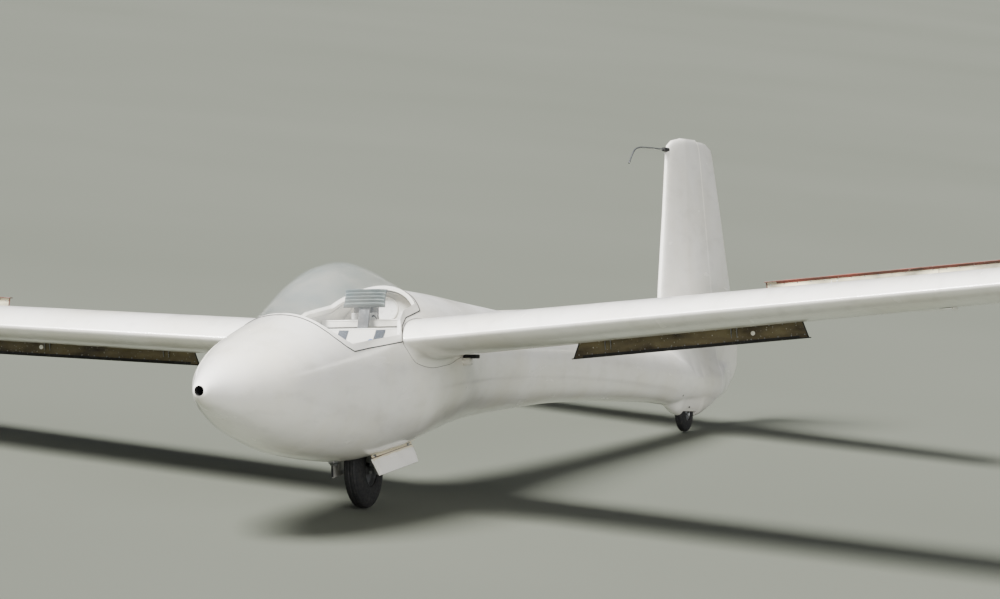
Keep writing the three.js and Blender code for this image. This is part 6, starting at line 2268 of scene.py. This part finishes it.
@dataclass
class Cockpit:
    """Seat, harness, panel, controls and the shelf behind the seat."""

    seat: SeatLine = SeatLine()
    wall: float = 20.0
    post: Pairs = ((1830, 214), (1885, 280), (1905, 345), (1950, 455))
    cushion_half: float = 190.0
    cushion_run: tuple[float, float] = (0.265, 0.79)
    shelf: tuple[float, float, float] = (1960.0, 292.0, 320.0)
    panel_y: float = 960.0
    dials: Triples = (
        (-62, 162, 38), (62, 162, 38), (-98, 84, 27), (-34, 84, 27), (34, 84, 27), (98, 84, 27), (0, 212, 15),
    )
    screw: Pairs = ((0, 2.6), (1.4, 2.4), (1.8, 0))
    hub: Pairs = ((0, 3), (2, 3), (2.6, 2), (2.6, 0))
    buckle: Pairs = (
        (-5, 30), (-3, 33), (4, 33), (7, 30), (9, 19), (12, 17), (13, 12), (13, 0),
    )
    grip: Pairs = (
        (-6, 10), (-4, 13), (4, 15), (16, 14.2), (28, 15.6), (40, 14), (54, 15.2), (68, 14.6),
        (80, 15.4), (88, 13), (93, 8), (94, 0),
    )
    knob: Pairs = ((0, 7), (4, 12), (16, 14), (28, 12), (33, 6), (34, 0))
    hands: tuple[tuple[int, float, float, float, int], ...] = (
        (1, 1180, 70, 150, 2), (1, 1330, 40, 60, 1), (-1, 1220, 60, 130, 1),
    )

    def inside(self, y: float, z: float, less: float) -> float:
        """Half width of the room inside the wall at a place, less a margin."""
        return float(FUSELAGE.width(np.array(y), np.array(z), -self.wall)) - less

    def pan(self) -> Skin:
        """Moulded seat pan from wall to wall, its edges turned up, with the head post."""
        run = np.linspace(0, 1, 60)[None, :]
        y, z, _, _ = self.seat.curve(run)
        wide = np.minimum(FUSELAGE.width(y, z, -self.wall) - 1.5, 322.0)
        u = np.linspace(-1, 1, 41)[:, None]
        bolster = 24 * smooth((np.abs(u) - 0.7) / 0.3) * smooth(run / 0.2)
        top = self.seat.place(u * wide, run, bolster)
        low = self.seat.place(u * wide, run, bolster - 7)
        lip = self.seat.place(np.linspace(-1, 1, 30) * float(wide[0, -1]) * 0.98, 1.0, -3.5)
        line = np.array(self.post, float)
        t = np.linspace(0, len(line) - 1, 26)
        y, z = (eased(np.arange(len(line)), row, t) for row in line.T)
        path = np.stack([0 * t, y + 5, z - 2], axis=1)
        return closed_pair(top, low).add(pipe(lip, 6.5, 12),
                                         ribbon(path, (1, 0, 0), 74 - 22 * smooth(t), 8.0, 1))

    def cushion(self) -> Skin:
        """Seat and back cushion in one, with cross channels."""
        low, high = self.cushion_run
        return Pad(self.cushion_half, 32.0, 7).build(
            lambda x, share, lift: self.seat.place(x, low + (high - low) * share, lift + 3.0), 610.0)

    def head_pad(self) -> Skin:
        """Head pad on the post, with sewn tubes across."""
        foot, head = (np.array(point, float) for point in self.post[-2:])
        along = unit(head - foot)
        out = np.array([-along[1], along[0]])

        def place(x: Array, share: Array, lift: Array) -> Array:
            """A point in front of the post."""
            step = 34 + 83 * share
            y, z = (foot[k] + along[k] * step + out[k] * (lift + 2) for k in (0, 1))
            return np.stack(np.broadcast_arrays(x, y, z), axis=-1)

        return Pad(99.0, 32.0, 5, groove=0.55).build(place, 83.0)

    def harness(self) -> Skin:
        """Four straps and their buckle lying on the cushion; mark 1 is metal."""
        t = np.linspace(0, 1, 46)
        slant = (0.1, 1, 0.6)
        skin = Skin()
        for side in (1, -1):
            run = 0.992 - 0.56 * t
            over = smooth((0.83 - run) / 0.06)
            lift = 3 + 35 * over + 3 * np.sin(t * 19) * t * (1 - t) + 8 * smooth((t - 0.86) / 0.14)
            x = side * (88 - 66 * smooth(t) + 5 * np.sin(t * 7 + side))
            skin.add(ribbon(self.seat.place(x, run, lift), (1, 0, 0), 46, 2.4))
            run = 0.52 - 0.08 * smooth(t * 1.1)
            x = side * (226 - 200 * t)
            lift = 10 + 30 * smooth(t / 0.22) + 7 * smooth((t - 0.8) / 0.2)
            near, far = self.seat.place(x[[12, 16]], run[[12, 16]], lift[[12, 16]] + 2)
            skin.add(ribbon(self.seat.place(x, run, lift), slant, 46, 2.4),
                     ribbon(np.linspace(near, far, 4), slant, 54, 4.5, 1))
        centre = self.seat.place(0.0, 0.432, 49.0)
        _, _, ny, nz = self.seat.curve(0.432)
        return skin.add(turned_about(centre, (0, ny, nz), self.buckle, 32, 1))

    def dial(self, n: int, x: float, z: float, r: float) -> Skin:
        """One instrument: bezel and face, scale ticks, needle with its hub, and corner screws."""
        aft, y = (0, 1, 0), self.panel_y
        bezel = ((0, r + 3), (5, r + 3), (7, r + 1), (7, r - 1.5), (4, r - 2.5), (3, r - 3), (3, 0))
        skin = turned_about((x, y - 1, z), aft, bezel, 36)
        for k, turn in enumerate(np.linspace(-2.4, 2.4, 13)):
            way = np.array([math.sin(turn), 0.0, math.cos(turn)])
            marks = np.array([[0.62 if k % 3 == 0 else 0.74], [0.8], [0.92]])
            skin.add(ribbon(np.array([x, y + 2.5, z]) + way * (r - 3) * marks, np.cross(way, aft),
                            0.06 * r, 0.9, 1))
        turn = -1.7 + 0.83 * n
        way = np.array([math.sin(turn), 0.0, math.cos(turn)])
        skin.add(ribbon(np.array([x, y + 3.3, z]) + way * r * np.array([[-0.2], [0.3], [0.78]]),
                        np.cross(way, aft), np.array([0.1, 0.08, 0.02]) * r, 0.8, 1),
                 turned_about((x, y + 2.5, z), aft, self.hub, 14))
        off = r * 0.76 + 2.5
        for cx, cz in ((-1, -1), (-1, 1), (1, -1), (1, 1)) if r > 20 else ():
            skin.add(turned_about((x + cx * off, y - 0.5, z + cz * off), aft, self.screw, 10, 2))
        return skin

    def instruments(self) -> Skin:
        """All dials and the three knobs under them; marks: black, white, steel."""
        skin = Skin().add(*(self.dial(n, *dial) for n, dial in enumerate(self.dials)))
        y = self.panel_y
        return skin.add(*(rod((x, y, 47), (x, y + 16, 47), 6.0, 18, 0, 0.3) for x in (-24, 0, 24)))

    def stick(self) -> Skin:
        """Column, ribbed gaiter and shaped grip; marks: steel, black, blue."""
        foot, knee, top = np.array([0, 1120, -125.0]), np.array([0, 1150, 62.0]), np.array([0, 1158, 152.0])
        base = np.array([0, 1117, -170.0])
        steps = np.linspace(0, 62, 19)
        ribs = 23 - 11 * steps / 62 + 2.2 * np.sin(steps / 62 * 2 * np.pi * 5)
        gaiter = [(-2, 24), *zip(steps, ribs), (62, 8.0)]
        return rod((0, 1117, -160), knee, 9.5, 22).add(
            turned_about(base, foot - base, gaiter, 28, 1),
            turned_about(knee, top - knee, self.grip, 28, 1),
            rod(top + np.array([0, -12, -12]), top + np.array([0, -17, -8]), 4.0, 14, 2),
        )

    def levers(self) -> Skin:
        """Brake, trim and wheel levers on the side walls; marks: steel, black, blue."""
        skin = Skin()
        for side, y, z, reach, mark in self.hands:
            x = side * self.inside(y, z, 16)
            skin.add(rod((x, y - reach / 2, z), (x, y + reach / 2, z), 5.0, 16))
            for end in (-1, 1):
                foot = y + end * reach * 0.42
                skin.add(rod((x, foot, z), (x + side * 14, foot, z), 6.5, 14, 1))
            skin.add(rod((x, y, z), (x - side * 34, y, z + 8), 5.0, 14),
                     turned_about((x - side * 30, y, z + 7), (-side, 0, 0.2), self.knob, 22, mark))
        return skin

    def pedals(self) -> Skin:
        """Cross bar and two ribbed pedals with their feet; marks: steel, black."""
        wide = self.inside(430.0, -60.0, 2)
        skin = rod((-wide, 430, -60), (wide, 430, -60), 9.0, 20)
        for side in (1, -1):
            near, far = side * 45, side * 105
            corners = [(near, 433, -66), (far, 433, -66), (far, 424, 32), (near, 424, 32)]
            skin.add(panel(rounded(np.array(corners), 14), 7, 1.2, 1))
            for k in range(5):
                y, z = 438.5 - 1.4 * k, -44 + 16 * k
                skin.add(rod((near + side * 8, y, z), (far - side * 8, y, z), 2.0, 10))
            skin.add(rod((side * 75, 431, -60), (side * 75, 431, -40), 7.0, 14))
        return skin

    def lower_case(self) -> Skin:
        """A small dark case with a lid line on the lower shelf."""
        return block((60, 2010, 158.5), (190, 2110, 204), 6.0).add(
            block((62, 2012, 203), (188, 2108, 208), 1.0), block((60, 2010, 207), (190, 2110, 225), 5.0))

    def upper_shelf(self) -> Skin:
        """A thin shelf over the spars with a rolled front lip, fitted to the fuselage's inside."""
        start, low, top = self.shelf
        y = np.linspace(start + 6, 2186, 24)[None, :]
        u = np.linspace(-1, 1, 31)[:, None]
        across = u * (FUSELAGE.width(y, np.full_like(y, low + 6), -self.wall) - 2.0)
        upper, lower = (np.stack(np.broadcast_arrays(across, y, z), axis=-1) for z in (low + 6, low))
        wide = self.inside(start + 3, top, 3)
        lip = np.stack(np.broadcast_arrays(
            np.linspace(-wide, wide, 33), start + 3.0, (low + top) / 2), axis=1)
        return closed_pair(upper, lower).add(
            ribbon(lip, (0, 0, 1), top - low, 5.0), pipe(lip + np.array([0, 0, (top - low) / 2]), 4.0, 12))

    def upper_case(self) -> Skin:
        """A dark box with a pale front plate, a knob and a lid on the upper shelf."""
        base = self.shelf[1] + 6.3
        return block((-87, 2000, base), (9, 2078, 398), 5.0).add(
            block((-89, 1998, 397), (11, 2080, 412), 5.0),
            block((-92, 1990, base), (30, 1999, 355), 2.5, 2),
            turned_about((-18, 1990, 347), (0, -1, 0), ((0, 7), (8, 7), (11, 5), (11, 0)), 20),
            turned_about((12, 1990, 338), (0, -1, 0), ((0, 4), (5, 4), (6, 0)), 16, 1),
        )

    def cable(self) -> Skin:
        """The cable from the box down over the shelf's lip."""
        t = np.linspace(0, 1, 24)
        x = 12 + 30 * smooth(t)
        y = 1984 - 26 * smooth(t * 1.4)
        z = 338 - 14 * smooth(t) + 10 * np.sin(np.pi * t)
        return pipe(np.stack([x, y, z], axis=1), 2.4, 10)

    def port_ring(self) -> Skin:
        """Rim round the bulkhead's hole and the pale cover in it; marks: lining, cover."""
        t = np.linspace(0, 2 * np.pi, 49)[:, None]
        s = np.linspace(0, 2 * np.pi, 13)[None, :]
        r = 54.0 + 4.5 * np.cos(s)
        torus = np.stack([r * np.cos(t), 2188 + 4.5 * np.sin(s) + 0 * t, 375 + r * np.sin(t)], axis=-1)
        cover = turned_about((0, 2194, 375), (0, 1, 0), ((-2, 49.6), (3, 49.6), (3, 0)), 40, 1)
        return Skin().grid(torus).add(cover)

    def make(self, stance: Stance, looks: Finishes) -> None:
        """Builds everything in the cockpit."""
        black, rubber, steel, piping = looks.black_own, looks.rubber, looks.steel_own, looks.cloth_dark
        _, piece = make_pieces(stance, [
            ("seat_pan_moulded", self.pan(), [looks.lining, black], "cockpit_lining", ["seat_pan"]),
            ("seat_cushion_sewn", self.cushion(), [looks.cloth, piping], "upholstery", ["seat_cushion"], 60),
        ])
        piece, *_ = make_pieces(stance, [
            ("head_pad_sewn", self.head_pad(), [looks.cloth_tubes, piping], "upholstery", ["headrest"], 60),
        ])
        make_pieces(stance, [
            ("harness_webbing", self.harness(), [looks.webbing, steel], "upholstery", [], 40),
            ("instrument_dials", self.instruments(), [black, looks.dial_white, steel], "black_plastic", []),
            ("stick_with_grip", self.stick(), [steel, rubber, looks.knob], "black_plastic",
             ["control_stick"]),
            ("side_levers", self.levers(), [steel, black, looks.knob], "black_plastic", []),
            ("pedals_ribbed", self.pedals(), [steel, rubber], "metal", ["rudder_pedals"]),
            ("shelf_case", self.lower_case(), [black], "black_plastic", ["shelf_box"]),
            ("upper_shelf", self.upper_shelf(), [looks.gelcoat], "cockpit_lining", []),
            ("upper_case", self.upper_case(), [black, rubber, looks.cover], "black_plastic", []),
            ("case_cable", self.cable(), [rubber], "rubber", []),
            ("bulkhead_cover", self.port_ring(), [looks.lining, looks.cover], "cockpit_lining", []),
        ])


# Outside details


@dataclass
class OutsideDetails:
    """Small fittings of the skin: seals, hatches, horn fairings, ports, probe and tow hook."""

    wing: WingPair = field(default_factory=WingPair)
    canopy: Canopy = field(default_factory=Canopy)
    drains: tuple[float, ...] = (1300.0, 3900.0, 6200.0)
    horn_places: Triples = (
        (2600.0, 2395.0, 90.0), (5500.0, 2120.0, 70.0), (6700.0, 1965.0, 62.0), (7900.0, 1895.0, 54.0),
    )
    ears: tuple[float, ...] = (1180.0, 1460.0)
    probe_line: Pairs = (
        (6066, 1240), (5900, 1240), (5720, 1238), (5640, 1228), (5600, 1205), (5542, 1152),
    )
    port_places: Pairs = ((6120.0, 0.0), (6282.0, -58.0))

    def under_wing(self, x0: float, y0: float, a: float, b: float) -> Callable[..., tuple[Array, Array]]:
        """A disc of half axes a and b laid on the wing's lower surface."""
        form = self.wing.form

        def surface(u: Array, v: Array) -> tuple[Array, Array]:
            """Point and normal at unit-disc coordinates."""
            x, y = x0 + a * u, y0 + b * v
            point = form.point(x, form.share_at(x, y, -1), -1)
            return point, np.broadcast_to(np.array([0.0, 0.06, -1.0]), point.shape)

        return surface

    def hatches(self, side: int) -> Skin:
        """Oval hatch and drain discs under one wing."""
        discs = (blister(self.under_wing(x, 1980 - (x - 1300) * 0.02, 9, 9), 1.0) for x in self.drains)
        return blister(self.under_wing(2700, 1950, 42, 17), 1.4).add(*discs).flipped(side)

    def horns(self, side: int) -> Skin:
        """Teardrop fairings under the wing where control rods come out."""
        skin = Skin()
        form = self.wing.form
        step = np.linspace(0, 1, 13)
        radius = 9.5 * np.sqrt(np.maximum(step, 0)) * (1 - step) ** 0.7 * 2.1
        for x, y, long in self.horn_places:
            share = form.share_at(np.array([x]), y, -1)
            at = form.point(np.array([x]), share, -1)[0] + np.array([0, 0, -3.0])
            skin.add(turned_about(at - np.array([0, long * 0.45, 0]), (0, 1, -0.06),
                                  list(zip(step * long, radius)), 18))
        return skin.flipped(side)

    def root_seam(self, side: int) -> Skin:
        """Sealing bead along the wing's foot on the fuselage."""
        s = np.linspace(0.004, 0.985, 90) ** 1.3
        feet = (self.wing.root(s, face, 12)[:, 0] for face in (1, -1))
        return Skin().add(*(pipe(foot, 0.9, 8) for foot in feet)).flipped(side)

    def root_gap(self, side: int) -> Skin:
        """Rubber gaiter and white block where the controls cross to the wing's rear foot."""
        return block((262, 2462, 150), (322, 2524, 168), 3.0).add(
            block((258, 2440, 118), (306, 2486, 152), 9.0, 1),
            rod((268, 2463, 140), (268, 2438, 138), 7.0, 18, 1)).flipped(side)

    def rear_strip(self, side: int) -> Skin:
        """Pale sealing strip under the wing's rear edge from the root out to the airbrake."""
        x = np.linspace(330, 892, 40)[None, :]
        share = np.array([0.935, 0.938, 0.962, 0.965])[:, None]
        outer = self.wing.form.point(x, share + 0 * x, -1)
        rise = np.array([0.2, 1.5, 1.5, 0.2])[:, None, None] * np.array([0.0, 0.0, -1.0])
        return closed_pair(outer + rise, outer + np.array([0, 0, 1.2])).flipped(side)

    def seal(self) -> Skin:
        """Black rubber bead along the canopy opening's rim."""
        y = rim_places(FUSELAGE, self.canopy.line, (880.0, 2400.0), 12.0)[1:-1]
        edge = FUSELAGE.point(y, FUSELAGE.angle_at_height(y, self.canopy.line.height(y)), -1.4)
        loop = np.concatenate([edge, edge[::-1] * MIRROR])
        loop[:, 2] += 1.3
        return pipe(np.vstack([loop, loop[:1]]), 3.1, 8)

    def lugs(self) -> Skin:
        """Canopy hinge ears: arms from the frame to eyes about the hinge pins."""
        skin = Skin()
        for y in self.ears:
            z = 170 + (y - 1090) * 0.1727
            corners = ((-306, y - 13), (-274, y - 13), (-274, y + 13), (-306, y + 13))
            arm = rounded(np.array([(*corner, z + 4) for corner in corners]), 4)
            skin.add(rod((-306, y - 14, z - 2.4), (-306, y + 14, z + 2.4), 8.0, 22), panel(arm, 7, 1.2))
        return skin

    def latch(self) -> Skin:
        """Canopy lock on the port frame: lever, pivot and knob; marks: steel, blue."""
        y = np.array(1300.0)
        z = float(self.canopy.line.height(y)) + 18
        x = float(FUSELAGE.width(y, np.array(z))) - 20
        lever = np.array([(x - 12, 1300, z), (x - 14, 1340, z + 6), (x - 18, 1378, z + 10)])
        knob = ((0, 7), (3, 10), (14, 11), (20, 8), (22, 0))
        return rod((x + 2, 1300, z), (x - 14, 1300, z), 9.0, 20).add(
            ribbon(lever, (0, -0.1, 1), 15, 4.0),
            turned_about((x - 12, 1380, z + 10), (-1, 0, 0), knob, 22, 1))

    def probe(self) -> Skin:
        """Energy probe: a slim tube with a bent tip and a collar."""
        knots = np.array(self.probe_line, float)
        far = distance_along(knots)
        t = np.linspace(0, far[-1], 60)
        path = np.stack([0 * t, np.interp(t, far, knots[:, 0]), np.interp(t, far, knots[:, 1])], axis=1)
        for _ in range(12):
            path[1:-1] = (path[:-2] + 2 * path[1:-1] + path[2:]) / 4
        collar = ((-14, 4.2), (-13, 5.2), (-2, 5.2), (0, 3.6), (0, 0))
        return pipe(path, 4.2, 16).add(turned_about(path[-1], path[-1] - path[-3], collar, 16))

    def ports(self) -> Skin:
        """Small dark static ports and drains on the tail's sides."""
        skin = Skin()
        tail = TailUnit()
        cap = ((-1.5, 9.0 * 0.55), (0.9, 9.0 * 0.55), (1.1, 0))
        for y, z in self.port_places:
            angle = np.linspace(-np.pi / 2, 0, 400)
            grid = tail.bulge(tail.cone_point(np.full(400, y), angle))
            k = int(np.argmin(np.abs(grid[:, 2] - z)))
            ahead = unit(grid[min(k + 6, 399)] - grid[k - 6])
            out = np.array([ahead[2], 0.0, -ahead[0]])
            for side in (1, -1):
                flip = np.array([side, 1, 1])
                skin.add(turned_about(grid[k] * flip, out * flip, cap, 20))
        return skin

    def hook(self) -> Skin:
        """Release hook under the belly: housing, cheek and open ring."""
        cheek = rounded(np.array([(0, 1500, -318), (0, 1548, -318), (0, 1540, -326), (0, 1508, -326)]), 3)
        t = np.linspace(-0.3, 3.6, 26)
        ring = np.stack([0 * t + 5, 1524 + 9 * np.cos(t), -317 + 8 * np.sin(t)], axis=1)
        return block((-15, 1492, -318), (15, 1558, -300), 3.0).add(panel(cheek, 22, 1.0), pipe(ring, 2.4, 10))

    def make(self, stance: Stance, looks: Finishes) -> None:
        """Builds the fittings."""
        rubber, white, steel = looks.rubber, looks.gelcoat, looks.steel_own
        for hand, side in HANDS:
            make_pieces(stance, [
                (f"wing_hatches_{hand}", self.hatches(side), [rubber], "rubber", []),
                (f"horn_fairings_{hand}", self.horns(side), [white], "gelcoat", []),
                (f"wing_root_seal_{hand}", self.root_seam(side), [rubber], "rubber", []),
                (f"root_fitting_{hand}", self.root_gap(side), [rubber, white], "rubber", []),
                (f"rear_edge_strip_{hand}", self.rear_strip(side), [looks.tape], "gelcoat", []),
            ])
        make_pieces(stance, [("canopy_rim_seal", self.seal(), [rubber], "rubber", [])])
        make_pieces(stance, [
            ("canopy_hinge_ears", self.lugs(), [steel], "metal", []),
            ("canopy_lock", self.latch(), [steel, looks.knob], "metal", []),
        ], "canopy")
        make_pieces(stance, [
            ("energy_probe_tube", self.probe(), [steel], "metal", ["total_energy_probe"]),
            ("tail_ports", self.ports(), [rubber], "rubber", []),
            ("tow_hook_fitted", self.hook(), [steel], "metal", ["tow_hook"]),
        ])


# Studio


@dataclass
class Studio:
    """Floor, soft lights and the camera at the photograph's angle."""

    position: tuple[float, float, float] = (11.10637, -26.47396, -0.28311)
    right: tuple[float, float, float] = (0.938168, 0.345979, -0.011828)
    upward: tuple[float, float, float] = (0.018912, -0.017106, 0.999675)
    focal_px: float = 6832.3
    image: tuple[int, int] = (1000, 599)
    sensor: float = 36.0
    sky: tuple[float, float, float, float] = (0.86, 0.91, 1.0, 1.0)
    sky_strength: float = 0.24
    suns: tuple[tuple[str, tuple[float, float, float], float, float], ...] = (
        ("key", (-6.0, -14.0, 17.0), 24.0, 15.5), ("fill", (14.0, -12.0, 7.0), 40.0, 2.3),
    )
    reach: float = 300.0

    def frame_of(self, right: Array, upward: Array, back: Array, spot: Any) -> Matrix:
        """The matrix with these axes at a place."""
        full = np.eye(4)
        full[:3] = np.stack([right, upward, back, spot], axis=1)
        return Matrix(full.tolist())

    def camera(self, stance: Stance) -> None:
        """Places the camera, fitted in the airframe's frame, in the part's frame."""
        data = bpy.data.cameras.new("camera")
        data.sensor_width = self.sensor
        data.lens = self.focal_px / self.image[0] * self.sensor
        data.clip_start, data.clip_end = 1.0, 400.0
        eye = bpy.data.objects.new("camera", data)
        right, upward = np.array(self.right), np.array(self.upward)
        own = self.frame_of(right, upward, np.cross(right, upward), self.position)
        eye.matrix_world = stance.matrix() @ own
        bpy.context.scene.collection.objects.link(eye)
        bpy.context.scene.camera = eye

    def lights(self) -> None:
        """A pale sky, a broad key from the front and above, and a soft fill."""
        world = bpy.data.worlds.new("studio")
        world.use_nodes = True
        inputs = world.node_tree.nodes["Background"].inputs
        inputs["Color"].default_value, inputs["Strength"].default_value = self.sky, self.sky_strength
        bpy.context.scene.world = world
        for name, spot, spread, power in self.suns:
            data = bpy.data.lights.new(name, "SUN")
            data.angle, data.energy = math.radians(spread), power
            lamp = bpy.data.objects.new(name, data)
            back = unit(spot)
            side = unit(np.cross([0, 0, 1], back))
            lamp.matrix_world = self.frame_of(side, np.cross(back, side), back, spot)
            bpy.context.scene.collection.objects.link(lamp)

    def floor(self) -> None:
        """A plain mid grey floor, wide enough to fill the view behind the part."""
        mesh = bpy.data.meshes.new("studio_floor")
        corners = [(a * self.reach, b * self.reach, 0) for a, b in ((-1, -1), (1, -1), (1, 1), (-1, 1))]
        mesh.from_pydata(corners, [], [(0, 1, 2, 3)])
        mesh.materials.append(StudioFloor().make())
        sheet = bpy.data.objects.new("studio_floor", mesh)
        bpy.context.scene.collection.objects.link(sheet)


def dress_nodes(looks: Finishes) -> None:
    """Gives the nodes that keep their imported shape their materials."""
    looks.dress(looks.rubber_cad, "nose_inlet_ring", "tip_skid_left", "tip_skid_right", "probe_socket")
    looks.dress(looks.steel, "canopy_hinge_front", "canopy_hinge_rear", "tail_wheel_axle")
    looks.dress(looks.lining_cad, "rear_bulkhead", "parcel_shelf")
    looks.dress(looks.black, "instrument_panel")


def main() -> None:
    """Builds the studio and then each sub-assembly of the sailplane."""
    logging.basicConfig(level=logging.INFO, format="%(name)s: %(message)s")
    stance = Stance.from_record(frame["record"])
    studio = Studio()
    studio.camera(stance)
    looks = Finishes()
    for part in (FuselageShell(), WingPair(), Airbrakes(), TailUnit(), Tailplane(), Canopy(), Wheels(),
                 GearDoors(), Undercarriage(), Cockpit(), OutsideDetails()):
        part.make(stance, looks)
    dress_nodes(looks)
    studio.lights()
    studio.floor()


if __name__ == "__main__":
    main()
